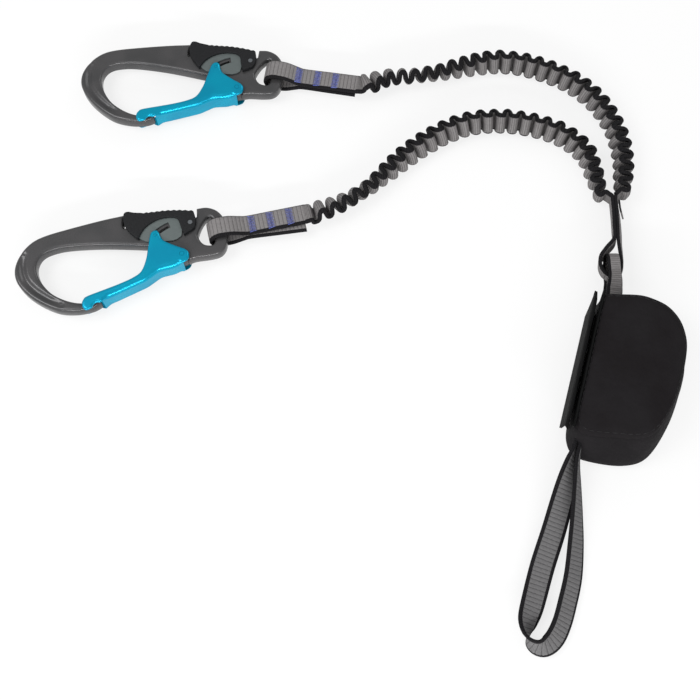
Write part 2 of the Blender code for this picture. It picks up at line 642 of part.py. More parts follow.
def carabiner_gate(side, finish):
    inner, outer = gate_faces()
    outline = joined(smooth_run(spots(GATE_FAR_SHARES), 2), smooth_run(spots(GATE_HEEL_SHARES), 2),
                     smooth_run(spots(GATE_NEAR_SHARES), 2))
    gate = plate(side + "_gate", outline, -outer, outer, finish, GATE_FILLET)
    web = spots(WEB_SHARES)
    far = CARABINER_LENGTH
    channel = ([Vector((web[0].x, -far))] + smooth_run(web, 1)
               + [Vector((web[-1].x, -far)), Vector((-far, -far)), Vector((-far, far)),
                  Vector((far, far)), Vector((far, -far))])
    cut(gate, plate(side + "_channel_cutter", channel, -inner, inner, finish))
    cut(gate, disc(side + "_notch_cutter", spot(NOTCH_SHARES), NOTCH_RADIUS,
                   -outer - CUT_OVERRUN, outer + CUT_OVERRUN, finish))
    reach = outer + CUT_OVERRUN
    cut(gate, disc(side + "_gate_rivet_cutter", Vector((0, 0)), GATE_RIVET_RADIUS + RIVET_GAP,
                   -reach, reach, finish))
    cut(gate, disc(side + "_gate_pin_cutter", spot(GATE_PIN_SHARES), GATE_PIN_RADIUS + RIVET_GAP,
                   -reach, reach, finish))
    return gate


def ribbed_back():
    """The lever's back edge, with shallow grip ribs along the palm side."""
    run = smooth_run(spots(LEVER_BACK_SHARES), LEVER_RIBS)
    ribs = []
    for index, point in enumerate(run):
        share = index / (len(run) - 1)
        wave = math.sin(math.pi * LEVER_RIBS * share) ** 2
        ribs.append(point - Vector((0, LEVER_RIB_DEPTH)) * wave)
    return ribs


def lever_outline():
    return joined(ribbed_back(), smooth_run(spots(LEVER_END_SHARES), 2),
                  smooth_run(spots(WINDOW_SHARES), 2), smooth_run(spots(LEVER_FRONT_SHARES), 2))


def cam_plate_outline(grow):
    """The steel plate: the lever's window, a lap under its rim, and a rounded foot."""
    window = smooth_run(spots(WINDOW_SHARES), 1)
    foot = spots(PLATE_FOOT_SHARES)
    rim = []
    for index, point in enumerate(window):
        along = (window[min(index + 1, len(window) - 1)] - window[max(index - 1, 0)]).normalized()
        lap = PLATE_LAP * math.sin(math.pi * index / (len(window) - 1)) ** 0.5
        rim.append(point + Vector((-along.y, along.x)) * lap)
    return inset(counterclockwise(rim[1:-1] + foot), -grow)


def lever_slot_outline():
    """The slot for the gate pin in the plate, wide enough for the squeeze of the lever."""
    pin = spot(GATE_PIN_SHARES)
    rest = math.degrees(math.atan2(pin.y, pin.x))
    room = GATE_PIN_RADIUS + FACE_GAP
    spare = math.degrees(room / pin.length)
    far = pin.length - room + SLOT_WIDTH
    outer = arc(Vector((0, 0)), far, rest + spare, rest - GATE_OPENING - 2 * spare, 8)
    inner = arc(Vector((0, 0)), pin.length - room, rest - GATE_OPENING - 2 * spare, rest + spare, 8)
    return outer + inner


def palm_lever(side, finish):
    half = BODY_THICKNESS / 2 + FACE_GAP
    outer = gate_faces()[1] - LEVER_SETBACK
    lever = plate(side + "_palm_lever", lever_outline(), -outer, outer, finish, LEVER_FILLET)
    cut(lever, plate(side + "_straddle_cutter", spots(LEVER_WEB_SHARES), -half, half, finish))
    low, high = plate_faces()
    for face, start, end in (("front", half - CUT_OVERRUN / 2, high + FACE_GAP),
                             ("back", -high - FACE_GAP, CUT_OVERRUN / 2 - half)):
        cut(lever, plate(f"{side}_{face}_rebate_cutter", cam_plate_outline(PLATE_GAP),
                         start, end, finish))
    reach = outer + CUT_OVERRUN
    cut(lever, disc(side + "_lever_rivet_cutter", spot(LEVER_PIVOT_SHARES),
                    LEVER_RIVET_RADIUS + RIVET_GAP, -reach, reach, finish))
    return lever


def cam_plates(side, finish):
    low, high = plate_faces()
    plates = []
    for face, start, end in (("front", low, high), ("back", -high, -low)):
        plates.append(plate(f"{side}_cam_plate_{face}", cam_plate_outline(0), start, end, finish,
                            holes=[lever_slot_outline()]))
    return plates


def coil_spring(name, centre, radius, finish):
    """A torsion coil round a rivet, with its two ends running straight off the turns."""
    top = BODY_THICKNESS / 2 - COIL_GAP - SPRING_WIRE / 2
    steps = 9
    count = round(SPRING_TURNS * steps)
    points = []
    for step in range(count + 1):
        angle = math.tau * step / steps
        height = top - SPRING_PITCH * step / steps
        points.append(Vector((centre.x + radius * math.cos(angle),
                              centre.y + radius * math.sin(angle), height)))
    lead = (points[0] - points[1]).normalized() * SPRING_WIRE
    tail = (points[-1] - points[-2]).normalized() * SPRING_WIRE
    lead.z = tail.z = 0
    return wire(name, [points[0] + lead, *points, points[-1] + tail], SPRING_WIRE / 2, finish)


def wire(name, points, radius, finish):
    """A round wire along points that never run straight up."""
    layers = []
    for index, point in enumerate(points):
        before, after = points[max(index - 1, 0)], points[min(index + 1, len(points) - 1)]
        along = (after - before).normalized()
        side = along.cross(Vector((0, 0, 1))).normalized()
        rise = side.cross(along)
        turns = [math.tau * corner / WIRE_SIDES for corner in range(WIRE_SIDES)]
        layers.append([point + (side * math.cos(turn) + rise * math.sin(turn)) * radius
                       for turn in turns])
    return stack(name, layers, finish, sharp=70)


def bar_reach():
    """The farthest that the eye bar's rounded section reaches from its middle."""
    across = BAR_WIDTH_SHARE * CARABINER_LENGTH / 2 - BODY_FILLET
    return math.hypot(across, BODY_THICKNESS / 2 - BODY_FILLET) + BODY_FILLET


def loop_radius():
    """Radius of the strap's middle where it wraps the eye bar."""
    return bar_reach() + SWING_GAP + STRAP_THICKNESS / 2


def carabiner_height():
    return loop_radius() + STRAP_THICKNESS / 2


def webbing_loop(side, finish):
    """The end loop of the arm: round the eye bar, then two layers sewn flat together."""
    radius = loop_radius()
    layer = (STRAP_THICKNESS + LAYER_GAP) / 2
    upper = [Vector((reach, layer))
             for reach in (LOOP_LENGTH, LOOP_LENGTH * LOOP_MIDDLE_SHARE, LOOP_OPEN)]
    upper += [Vector((LOOP_OPEN * along, radius * out)) for along, out in LOOP_CURVE_SHARES]
    upper.append(Vector((0, radius)))
    bend = arc(Vector((0, 0)), radius, 90, 270, 10)
    profile = smooth_run(upper, 2)[:-1] + bend
    lower = [Vector((point.x, -point.y)) for point in smooth_run(upper, 2)[:-1]][::-1]
    stations = []
    for index, point in enumerate(profile + lower):
        tail = max(point.x, 0) * math.tan(math.radians(TAIL_YAW[side]))
        shift = tail if index >= len(profile) else 0
        stations.append((Vector((point.x, shift, point.y)), Vector((0, -1, 0)), STRAP_WIDTH))
    return sweep_strap(side + "_webbing_loop", stations, finish)


def carabiner(side, place, turn, layout, finishes):
    """One carabiner with its gate, lever and springs, and the strap loop in its eye."""
    eye = spot(BAR_SHARES)
    turned = Matrix.Rotation(math.radians(turn), 2) @ eye
    height = carabiner_height()
    swing = frame(side + "_swing", (place[0] + turned.x, place[1] + turned.y, height), turn, layout)
    gate_hinge = frame(side + "_gate_hinge", (-eye.x, -eye.y, 0), 0, swing)
    pivot = spot(LEVER_PIVOT_SHARES)
    lever_hinge = frame(side + "_lever_hinge", (pivot.x - eye.x, pivot.y - eye.y, 0), 0, swing)
    loop_frame = frame(side + "_loop_frame", swing.location, turn + STRAP_YAW[side], layout)
    outer = gate_faces()[1]
    lever_outer = outer - LEVER_SETBACK
    steel, black = finishes["steel"], finishes["spring steel"]
    fixed = [carabiner_body(side, finishes["body"]),
             coil_spring(side + "_gate_spring", Vector((0, 0)), GATE_SPRING_RADIUS, black),
             coil_spring(side + "_lever_spring", pivot, LEVER_SPRING_RADIUS, black)]
    turning = [carabiner_gate(side, finishes["gate"]),
               disc(side + "_gate_rivet", Vector((0, 0)), GATE_RIVET_RADIUS, -outer, outer, steel),
               disc(side + "_gate_pin", spot(GATE_PIN_SHARES), GATE_PIN_RADIUS, -outer, outer, steel)]
    squeezed = [palm_lever(side, finishes["lever"]), *cam_plates(side, steel),
                disc(side + "_lever_rivet", pivot, LEVER_RIVET_RADIUS,
                     -lever_outer, lever_outer, steel)]
    carry(fixed, swing, (*eye, 0))
    carry(turning, gate_hinge, (0, 0, 0))
    carry(squeezed, lever_hinge, (*pivot, 0))
    for part in fixed + turning + squeezed:
        for modifier in part.modifiers:
            modifier.object.parent = part.parent
            modifier.object.location = part.location
    webbing_loop(side, finishes["webbing"]).parent = loop_frame


# Y strap and absorber

def y_strap(layout, finish):
    """Both arm ends run down the stem side by side and form one drop-shaped loop."""
    layer = (STRAP_THICKNESS + LAYER_GAP) / 2
    top = Vector((*STEM_PLACE, STEM_HEIGHT))
    down = Vector((STEM_DRIFT, -STEM_LENGTH, 0))
    across = Vector((1, 0, 0))
    stations = []
    for share in (0, 0.5, 1):
        stations.append((top + down * share + across * layer, 1.0))
    for wide, deep in DROP_SHARES:
        place = top + down + Vector((wide * DROP_WIDTH, -deep * DROP_LENGTH, 0))
        pinch = 1 - (1 - DROP_PINCH_SHARE) * max(0, (deep - 0.3) / 0.7)
        stations.append((place, pinch))
    for share in (1, 0.5, 0):
        stations.append((top + down * share - across * layer, 1.0))
    middle = [Vector((*place.xy, place.z, pinch)) for place, pinch in stations]
    run = smooth_run(middle, 2)
    up = Vector((0, 0, 1))
    strap = sweep_strap("y_strap", [(place.xyz, up, STRAP_WIDTH * place.w) for place in run], finish)
    strap.parent = layout


def drop_foot():
    """Where the absorber's loop hangs in the drop: above the middle of its rounded foot."""
    across = STEM_PLACE[0] + STEM_DRIFT + DROP_FOOT_SHARE * DROP_WIDTH
    return Vector((across, STEM_PLACE[1] - STEM_LENGTH - DROP_LENGTH, STEM_HEIGHT))


def link_end():
    """How far along the pouch the absorber's loop reaches into it."""
    slope = math.tan(math.radians(POUCH_TURN))
    end = drop_foot().xy + Vector((slope * LINK_LENGTH / 2, -LINK_LENGTH))
    return (Matrix.Rotation(math.radians(-POUCH_TURN), 2) @ (end - Vector(POUCH_PLACE))).y


def absorber_top_loop(hinge, finish):
    """A flat loop over and under the foot of the drop, turning onto its side at the pouch."""
    layer = (STRAP_THICKNESS + LAYER_GAP) / 2
    half = LINK_HALF + STRAP_THICKNESS / 2
    upper = [Vector((-LINK_LENGTH, layer)), Vector((-LINK_LENGTH * LINK_FLAT_SHARE, layer))]
    upper += [Vector((-LINK_LENGTH * along, half * out)) for along, out in LINK_CURVE_SHARES]
    bend = arc(Vector((LINK_REACH - half, 0)), half, 90, -90, 6)
    profile = smooth_run(upper, 2) + bend + [Vector((point.x, -point.y))
                                             for point in smooth_run(upper, 2)[::-1]]
    slope = math.tan(math.radians(POUCH_TURN))
    stations = []
    for point in profile:
        spread = min(max(-point.x / LINK_LENGTH, 0), 1)
        heading = Matrix.Rotation(math.atan(slope * spread), 3, "Z")
        lean = math.radians(LINK_LEAN) * spread
        rise = heading @ Vector((math.sin(lean), 0, math.cos(lean)))
        side = heading @ Vector((math.cos(lean), 0, -math.sin(lean)))
        width = STRAP_WIDTH * (LINK_PINCH_SHARE + (1 - LINK_PINCH_SHARE) * spread)
        middle = Vector((slope * spread ** 2 * LINK_LENGTH / 2, point.x, 0))
        stations.append((middle + rise * point.y, side, width))
    loop = sweep_strap("absorber_top_loop", stations, finish)
    loop.parent = hinge
    return loop


def pouch_ring(mix, shrink, height):
    """One level of the pouch between its base outline and its front seam outline."""
    base = smooth_ring(shares_to_pouch(POUCH_BASE_SHARES), 2)
    front = smooth_ring(shares_to_pouch(POUCH_FRONT_SHARES), 2)
    ring = [low.lerp(high, mix) for low, high in zip(base, front)]
    ring = counterclockwise(ring)
    return [Vector((*point, height)) for point in inset(ring, shrink)]


def shares_to_pouch(table):
    return [Vector((across * POUCH_WIDTH, along * POUCH_LENGTH)) for across, along in table]


def pouch_tray(finish):
    """The back panel and gusset: a shell open at the front seam."""
    levels = [(height * POUCH_SEAM, shrink * POUCH_WIDTH, mix)
              for height, shrink, mix in TRAY_SHARES]
    outer = [pouch_ring(mix, shrink, height) for height, shrink, mix in levels]
    inner = [pouch_ring(mix, shrink + POUCH_WALL, max(height, POUCH_WALL))
             for height, shrink, mix in levels[:0:-1] if height > POUCH_WALL]
    inner.append(pouch_ring(0.0, levels[1][1] + 2 * POUCH_WALL, POUCH_WALL))
    tray = stack("pouch_tray", outer + inner, finish)
    cut(tray, wall_slot("top", TOP_SLOT_SHARES, finish))
    cut(tray, wall_slot("foot", FOOT_SLOT_SHARES, finish))
    return tray


def wall_slot(name, shares, finish):
    """A cutter through one end wall of the pouch for the webbing."""
    across, along, width, low, high = shares
    centre = Vector((across * POUCH_WIDTH, along * POUCH_LENGTH))
    half = width * STRAP_WIDTH / 2
    reach = SLOT_REACH_SHARE * POUCH_LENGTH
    corners = [Vector((half, reach)), Vector((-half, reach)),
               Vector((-half, -reach)), Vector((half, -reach))]
    return plate(name + "_wall_cutter", [centre + corner for corner in corners],
                 low * STRAP_WIDTH, high * STRAP_WIDTH, finish)


def pouch_front(finish):
    """The domed front panel, laid on the tray's seam."""
    low = POUCH_SEAM + SEAM_GAP
    rise = POUCH_HEIGHT - low
    outer = [(inset * POUCH_WIDTH, low + rise * share) for inset, share in CROWN_SHARES]
    inner = [(inset + POUCH_WALL / 2, height - POUCH_WALL) for inset, height in outer[:2:-1]]
    inner.append((POUCH_WALL, low))
    rings = [pouch_ring(1.0, inset, height) for inset, height in inner + outer]
    return stack("pouch_front", rings, finish)


def wall_face():
    """Distance of the pouch's straight side wall from its frame."""
    return POUCH_BASE_SHARES[0][0] * POUCH_WIDTH


def closure_strip(name, start, finish):
    """A strip of hook or loop tape that stands along the straight side."""
    low = FLAP_HINGE_HEIGHT + 2 * FLAP_THICKNESS
    foot = -CLOSURE_LENGTH / 2
    outline = [Vector((start, foot)), Vector((start + CLOSURE_THICKNESS, foot)),
               Vector((start + CLOSURE_THICKNESS, -foot)), Vector((start, -foot))]
    return plate(name, outline, low, low + CLOSURE_WIDTH, finish)


def flap_profile():
    """The flap's section: up the straight side and over the edge of the front panel."""
    outside = wall_face() - 2 * CLOSURE_THICKNESS - 3 * SEAM_GAP - FLAP_THICKNESS
    rise = FLAP_TOP - FLAP_HINGE_HEIGHT
    return [Vector((outside + FLAP_LIP * over, FLAP_HINGE_HEIGHT + rise * up))
            for over, up in FLAP_SECTION_SHARES]


def pouch_flap(finish):
    """The closing flap, a bent sheet whose top end runs out to a point."""
    middle = smooth_run(flap_profile(), 2)
    foot, head = FLAP_FOOT_SHARE * POUCH_LENGTH, FLAP_TOP_SHARE * POUCH_LENGTH
    layers = []
    for share in FLAP_STATION_SHARES:
        along = foot + (head - foot) * share
        drop = 0.0 if share < 1 else FLAP_LIP * FLAP_POINT_SHARE
        outer, inner = [], []
        for index, point in enumerate(middle):
            run = middle[min(index + 1, len(middle) - 1)] - middle[max(index - 1, 0)]
            normal = Vector((-run.y, run.x)).normalized() * FLAP_THICKNESS / 2
            back = drop * index / (len(middle) - 1)
            middle_point = point + Vector((FLAP_THICKNESS / 2, 0))
            outer.append(Vector((middle_point.x + normal.x, along - back, middle_point.y + normal.y)))
            inner.append(Vector((middle_point.x - normal.x, along - back, middle_point.y - normal.y)))
        layers.append(outer + inner[::-1])
    return stack("pouch_flap", layers, finish)


def tear_pack(finish):
    """The tear webbing, folded to and fro on edge in the pouch."""
    pitch = STRAP_THICKNESS + PACK_GAP
    corner = Vector((PACK_START_SHARE * POUCH_WIDTH,
                     link_end() - PACK_LOOP_GAP - PACK_LENGTH / 2))
    height = POUCH_WALL + SEAM_GAP + PACK_WIDTH / 2
    points = []
    for leg in range(PACK_LEGS):
        x = corner.x + pitch * leg
        ends = (-PACK_LENGTH / 2, PACK_LENGTH / 2) if leg % 2 else (PACK_LENGTH / 2, -PACK_LENGTH / 2)
        points.append(Vector((x, corner.y + ends[0])))
        points.append(Vector((x, corner.y + ends[1])))
        if leg < PACK_LEGS - 1:
            points += arc(Vector((x + pitch / 2, corner.y + ends[1])), pitch / 2, 180,
                          360 if ends[1] < 0 else 0, 4)[1:-1]
    up = Vector((0, 0, 1))
    return sweep_strap("tear_webbing_pack",
                       [(Vector((*point, height)), up, PACK_WIDTH) for point in points], finish)


def tie_in_loop(finish):
    """The loop that is hitched to the harness, lying leaned over on its edge."""
    route = []
    for across, along, height, lean in TIE_ROUTE_SHARES:
        route.append((across * TIE_WIDTH, along * TIE_LENGTH, height * STRAP_WIDTH, lean))
    return sweep_strap("tie_in_loop", route_stations(route, 2), finish)


def absorber(layout, finishes):
    foot = drop_foot()
    hinge = frame("absorber_hinge", foot, 0, layout)
    loop = absorber_top_loop(hinge, finishes["webbing"])
    pouch = frame("pouch_frame", Vector((*POUCH_PLACE, 0)) - foot, POUCH_TURN, hinge)
    fabric, tape = finishes["fabric"], finishes["tape"]
    start = wall_face() - SEAM_GAP - CLOSURE_THICKNESS
    tray = pouch_tray(fabric)
    for part in (tray, pouch_front(fabric), closure_strip("loop_tape", start, tape),
                 tear_pack(finishes["webbing"])):
        part.parent = pouch
    for modifier in tray.modifiers:
        modifier.object.parent = pouch
    tie_frame = frame("tie_frame", Vector((*TIE_PLACE, 0)) - foot, 0, hinge)
    tie_in_loop(finishes["webbing"]).parent = tie_frame
    hinge_x = flap_profile()[0].x
    flap_hinge = frame("flap_hinge", (hinge_x, 0, FLAP_HINGE_HEIGHT), 0, pouch)
    moving = [pouch_flap(fabric),
              closure_strip("hook_tape", start - SEAM_GAP - CLOSURE_THICKNESS, tape)]
    carry(moving, flap_hinge, (hinge_x, 0, FLAP_HINGE_HEIGHT))
    return loop, tray


FINISHES = {
    "body": ((0.10, 0.10, 0.11), 0.42, 0.7), "gate": ((0.0, 0.33, 0.60), 0.32, 0.6),
    "lever": ((0.015, 0.016, 0.020), 0.55, 0.0), "steel": ((0.20, 0.22, 0.215), 0.35, 0.9),
    "spring steel": ((0.30, 0.30, 0.31), 0.3, 1.0), "webbing": ((0.26, 0.24, 0.24), 0.85, 0.0),
    "fabric": ((0.012, 0.011, 0.012), 0.9, 0.0), "tape": ((0.010, 0.010, 0.010), 0.95, 0.0)}


def build():
    for old in list(bpy.data.objects):
        bpy.data.objects.remove(old, do_unlink=True)
    finishes = {name: material(name, *values) for name, values in FINISHES.items()}
    layout = frame("lanyard", (*LAYOUT_SHIFT, 0))
    carabiner("lower", LOWER_PLACE, 0, layout, finishes)
    carabiner("upper", UPPER_PLACE, UPPER_TURN, layout, finishes)
    for side, place, turn, route in (("upper", UPPER_PLACE, UPPER_TURN, UPPER_ROUTE),
                                     ("lower", LOWER_PLACE, 0, LOWER_ROUTE)):
        gathered_arm(side, place, turn, route, finishes["webbing"]).parent = layout
    y_strap(layout, finishes["webbing"])
    absorber(layout, finishes)


build()
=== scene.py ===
import math

import bmesh
import bpy
from mathutils import Matrix, Vector, kdtree, noise
from mathutils.geometry import delaunay_2d_cdt


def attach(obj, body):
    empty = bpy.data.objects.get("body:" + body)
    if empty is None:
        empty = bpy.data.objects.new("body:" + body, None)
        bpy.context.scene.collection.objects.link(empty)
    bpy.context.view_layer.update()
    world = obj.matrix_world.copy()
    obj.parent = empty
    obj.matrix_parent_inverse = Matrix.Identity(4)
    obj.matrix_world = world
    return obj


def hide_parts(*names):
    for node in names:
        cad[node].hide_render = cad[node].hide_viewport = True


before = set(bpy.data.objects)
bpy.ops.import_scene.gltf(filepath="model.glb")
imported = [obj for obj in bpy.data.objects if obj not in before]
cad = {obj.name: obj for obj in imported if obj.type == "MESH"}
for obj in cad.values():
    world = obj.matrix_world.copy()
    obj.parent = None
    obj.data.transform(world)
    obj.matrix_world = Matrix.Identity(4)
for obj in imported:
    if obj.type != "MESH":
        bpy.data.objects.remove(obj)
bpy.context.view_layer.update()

# The view. The photograph looks down on the lanyard at seventy degrees, from two thirds of a
# metre in front of its middle.
VIEW_TARGET = Vector((0.00349, -0.01817, 0.0075))
VIEW_DISTANCE = 0.640
VIEW_ELEVATION = math.radians(70)
VIEW_LENS = 56.47
VIEW_SENSOR = 36

view = bpy.data.cameras.new("view")
view.sensor_width = VIEW_SENSOR
view.lens = VIEW_LENS
camera = bpy.data.objects.new("view", view)
camera.location = VIEW_TARGET + VIEW_DISTANCE * Vector(
    (0, -math.cos(VIEW_ELEVATION), math.sin(VIEW_ELEVATION)))
camera.rotation_euler = (math.pi / 2 - VIEW_ELEVATION, 0, 0)
bpy.context.scene.collection.objects.link(camera)
bpy.context.scene.camera = camera

# The elastic arms. Each is a woven tube over rubber cords, which draw it into even folds while
# nothing pulls on it. The face is grey and finely ribbed, and the thick selvedges are black.
# Lengths are in millimetres. A place of a route is x, y, z and the lean in degrees.
MM = 0.001
STRAP_WIDTH = 13.0
STRAP_THICKNESS = 2.2
ELASTIC_THICKNESS = 2.3
SELVEDGE_RADIUS = 1.35
SELVEDGE_TURNS = range(-75, 76, 30)
FACE_SHARES = (0.75, 0.38, 0.0, -0.38, -0.75)
RIBBED_SHARE = 0.42
WAVE_COUNT = 29
WAVE_TURN = 84
WAVE_TIGHTNESS = 0.12
WAVE_STEPS = 24
WAVE_FINE_STEPS = 48
WAVE_SIGNS = {"upper": -1, "lower": 1}
FOLD_BULGE = 0.5
UPRIGHT_SHARE = 0.86
LEANING_SHARE = 1.2
LEANED_OVER = 45
SWAY, SWAY_PACE, SWAY_SEED, SWAY_MOST = 0.10, 0.11, 3.7, 1.04
TILT, TILT_PACE, TILT_SEED = 5, 0.16, 9.1
STEADY_START = 6
STEADY_END = 12
REST_HEIGHT = 0.15
LOOP_LEAD = 2.4
STEM_LEAD = 3.6
LEAD_STEPS = 6
ARM_STEPS = 12
ARM_ROUTES = {
    "upper": [
        (7.9, 161.3, 9.0, -90), (10.2, 160.9, 9.0, -86), (12.6, 160.6, 9.0, -80),
        (16.5, 162.3, 8.8, -68), (22.0, 165.0, 8.6, -56), (28.7, 167.1, 8.3, -46),
        (36.5, 167.9, 8.1, -40), (44.5, 168.5, 8.0, -35), (60.5, 171.1, 8.0, -19),
        (78.5, 175.8, 8.0, 6), (95.5, 179.3, 7.0, 32), (111.5, 178.4, 6.5, 40),
        (127.5, 173.6, 6.5, 40), (140.5, 167.2, 6.8, 36), (148.9, 161.5, 7.0, 32),
        (155.5, 155.2, 7.3, 27), (161.0, 148.5, 7.5, 22), (165.1, 141.4, 7.6, 19),
        (168.4, 134.2, 7.7, 17), (170.8, 126.7, 7.8, 16), (172.3, 119.1, 8.0, 15),
        (173.0, 111.1, 8.2, 14), (172.9, 103.1, 8.6, 12), (172.2, 96.0, 8.9, 10),
        (171.4, 89.7, 9.6, 6), (170.6, 86.4, 10.0, 2), (169.2, 83.4, 10.3, -4),
        (167.4, 81.0, 10.4, -12), (165.7, 78.9, 10.4, -15)],
    "lower": [
        (-24.5, 69.2, 9.0, -90), (-22.2, 69.7, 9.0, -86), (-19.8, 70.3, 9.0, -80),
        (-16.5, 71.1, 8.8, -66), (-8.0, 74.4, 8.4, -50), (0.5, 78.8, 8.1, -38),
        (8.5, 83.7, 8.0, -26), (16.0, 89.2, 8.0, -12), (27.0, 99.6, 7.9, 8),
        (34.5, 106.8, 7.6, 20), (41.5, 113.0, 7.2, 28), (48.5, 118.4, 6.9, 34),
        (55.0, 122.8, 6.6, 38), (61.5, 126.7, 6.5, 40), (68.1, 130.0, 6.3, 42),
        (75.5, 133.0, 6.2, 44), (84.5, 135.0, 6.1, 45), (93.2, 135.8, 6.1, 45),
        (101.8, 135.6, 6.1, 45), (109.7, 134.6, 6.2, 44), (118.5, 132.8, 6.3, 43),
        (126.2, 130.5, 6.3, 42), (133.8, 127.2, 6.6, 38), (140.9, 122.5, 7.1, 33),
        (146.7, 116.8, 7.7, 25), (150.9, 110.2, 8.3, 16), (152.8, 103.0, 8.9, 8),
        (154.4, 95.8, 9.3, 2), (155.2, 89.6, 9.8, -3), (155.7, 86.4, 10.1, -6),
        (157.2, 83.4, 10.3, -7), (160.4, 81.0, 10.4, -8), (163.0, 78.9, 10.4, -8)]}


class Signal:
    """A value on its way through the nodes. Sums and products of signals add Math nodes."""

    def __init__(self, owner, socket):
        self.owner = owner
        self.socket = socket

    def maths(self, operation, *values):
        return self.owner.node("ShaderNodeMath", {"operation": operation},
                               dict(enumerate(values)))

    def __add__(self, other):
        return self.maths("ADD", self, other)

    def __radd__(self, other):
        return self.maths("ADD", other, self)

    def __sub__(self, other):
        return self.maths("SUBTRACT", self, other)

    def __rsub__(self, other):
        return self.maths("SUBTRACT", other, self)

    def __mul__(self, other):
        return self.maths("MULTIPLY", self, other)

    def __rmul__(self, other):
        return self.maths("MULTIPLY", other, self)

    def __truediv__(self, other):
        return self.maths("DIVIDE", self, other)

    def __abs__(self):
        return self.maths("ABSOLUTE", self)

    def fraction(self):
        return self.maths("FRACT", self)

    def sine(self):
        return self.maths("SINE", self)

    def larger(self, other):
        return self.maths("MAXIMUM", self, other)

    def rise(self, low, high):
        """A soft step from 0 at low to 1 at high."""
        return self.owner.node(
            "ShaderNodeMapRange", {"interpolation_type": "SMOOTHSTEP"},
            {"Value": self, "From Min": low, "From Max": high})


class NodeTree:
    """The nodes of a material, of the world or of a group, in the making."""

    def __init__(self, tree):
        self.tree = tree

    def node(self, kind, settings, values, output=0):
        made = self.tree.nodes.new(kind)
        for name, setting in settings.items():
            setattr(made, name, setting)
        for name, value in values.items():
            if isinstance(value, Signal):
                self.tree.links.new(value.socket, made.inputs[name])
            else:
                made.inputs[name].default_value = value
        return Signal(self, made.outputs[output]) if made.outputs else made


class Surface(NodeTree):
    """A material in the making: its shader and the nodes that feed it."""

    def __init__(self, name, plain):
        self.material = bpy.data.materials.new(name)
        self.material.use_nodes = True
        super().__init__(self.material.node_tree)
        self.shader = self.tree.nodes["Principled BSDF"]
        for socket, value in plain.items():
            self.shader.inputs[socket].default_value = value

    def feed(self, signals):
        for socket, signal in signals.items():
            self.tree.links.new(signal.socket, self.shader.inputs[socket])

    def mixed(self, mask, low, high):
        """One colour where the mask is 0 and the other where it is 1."""
        return self.node("ShaderNodeMix", {"data_type": "RGBA"}, {0: mask, 6: low, 7: high}, 2)

    def relief(self, height):
        """Feeds the shader's normal with a height in millimetres."""
        self.feed({"Normal": self.node("ShaderNodeBump", {}, {"Height": height, "Distance": MM})})

    def place(self):
        """Where a point is on the piece at rest, in millimetres."""
        spot = self.node("ShaderNodeTexCoord", {}, {}, "Object")
        return self.node("ShaderNodeVectorMath", {"operation": "SCALE"}, {0: spot, "Scale": 1000})

    def parts(self, spot):
        return [self.node("ShaderNodeSeparateXYZ", {}, {0: spot}, axis) for axis in range(3)]

    def grain(self, spot, scale, detail=2.0):
        """Noise between 0 and 1, with scale spots in a millimetre."""
        return self.node("ShaderNodeTexNoise", {},
                         {"Vector": spot, "Scale": scale, "Detail": detail})

    def weave(self):
        """The place across and along a strap, in millimetres."""
        spot = self.node("ShaderNodeUVMap", {"uv_map": "weave"}, {})
        return self.parts(spot)[:2]


def paint(red, green, blue):
    """A colour as seen on a screen, in the renderer's terms."""
    return tuple(((level / 255 + 0.055) / 1.055) ** 2.4 for level in (red, green, blue)) + (1.0,)


def smooth_run(points, steps):
    """A smooth curve through every point, with steps pieces between two points."""
    padded = [points[0] * 2 - points[1], *points, points[-1] * 2 - points[-2]]
    run = []
    for before, start, end, after in zip(padded, padded[1:], padded[2:], padded[3:]):
        for step in range(steps):
            t = step / steps
            run.append(0.5 * (2 * start + (end - before) * t
                              + (2 * before - 5 * start + 4 * end - after) * t ** 2
                              + (3 * start - before - 3 * end + after) * t ** 3))
    run.append(points[-1].copy())
    return run


def run_lengths(run):
    """How far along a run each of its points lies."""
    lengths = [0.0]
    for start, end in zip(run, run[1:]):
        lengths.append(lengths[-1] + (end.xyz - start.xyz).length)
    return lengths


def even_run(run, step):
    """The same curve with points at an even distance of about a step."""
    lengths = run_lengths(run)
    count = max(2, round(lengths[-1] / step))
    even, index = [], 0
    for number in range(count + 1):
        distance = lengths[-1] * number / count
        while index < len(run) - 2 and lengths[index + 1] < distance:
            index += 1
        span = max(lengths[index + 1] - lengths[index], 1e-9)
        even.append(run[index].lerp(run[index + 1], min((distance - lengths[index]) / span, 1)))
    return even


def way_on(points, index):
    """The way from the point before to the point after."""
    return points[min(index + 1, len(points) - 1)] - points[max(index - 1, 0)]


def clamped(value):
    """The value, kept between 0 and 1."""
    return min(max(value, 0), 1)


def mesh_piece(name, body, vertices, faces, finish, sharp=40):
    """A piece in millimetres that rides on one body of the lanyard."""
    mesh = bpy.data.meshes.new(name)
    mesh.from_pydata([Vector(vertex) * MM for vertex in vertices], [], faces)
    shape = bmesh.new()
    shape.from_mesh(mesh)
    loose = [vertex for vertex in shape.verts if not vertex.link_faces]
    bmesh.ops.delete(shape, geom=loose, context="VERTS")
    bmesh.ops.recalc_face_normals(shape, faces=shape.faces)
    shape.to_mesh(mesh)
    shape.free()
    mesh.shade_smooth()
    mesh.set_sharp_from_angle(angle=math.radians(sharp))
    mesh.materials.append(finish.material)
    piece = bpy.data.objects.new(name, mesh)
    bpy.context.scene.collection.objects.link(piece)
    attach(piece, body)
    return piece


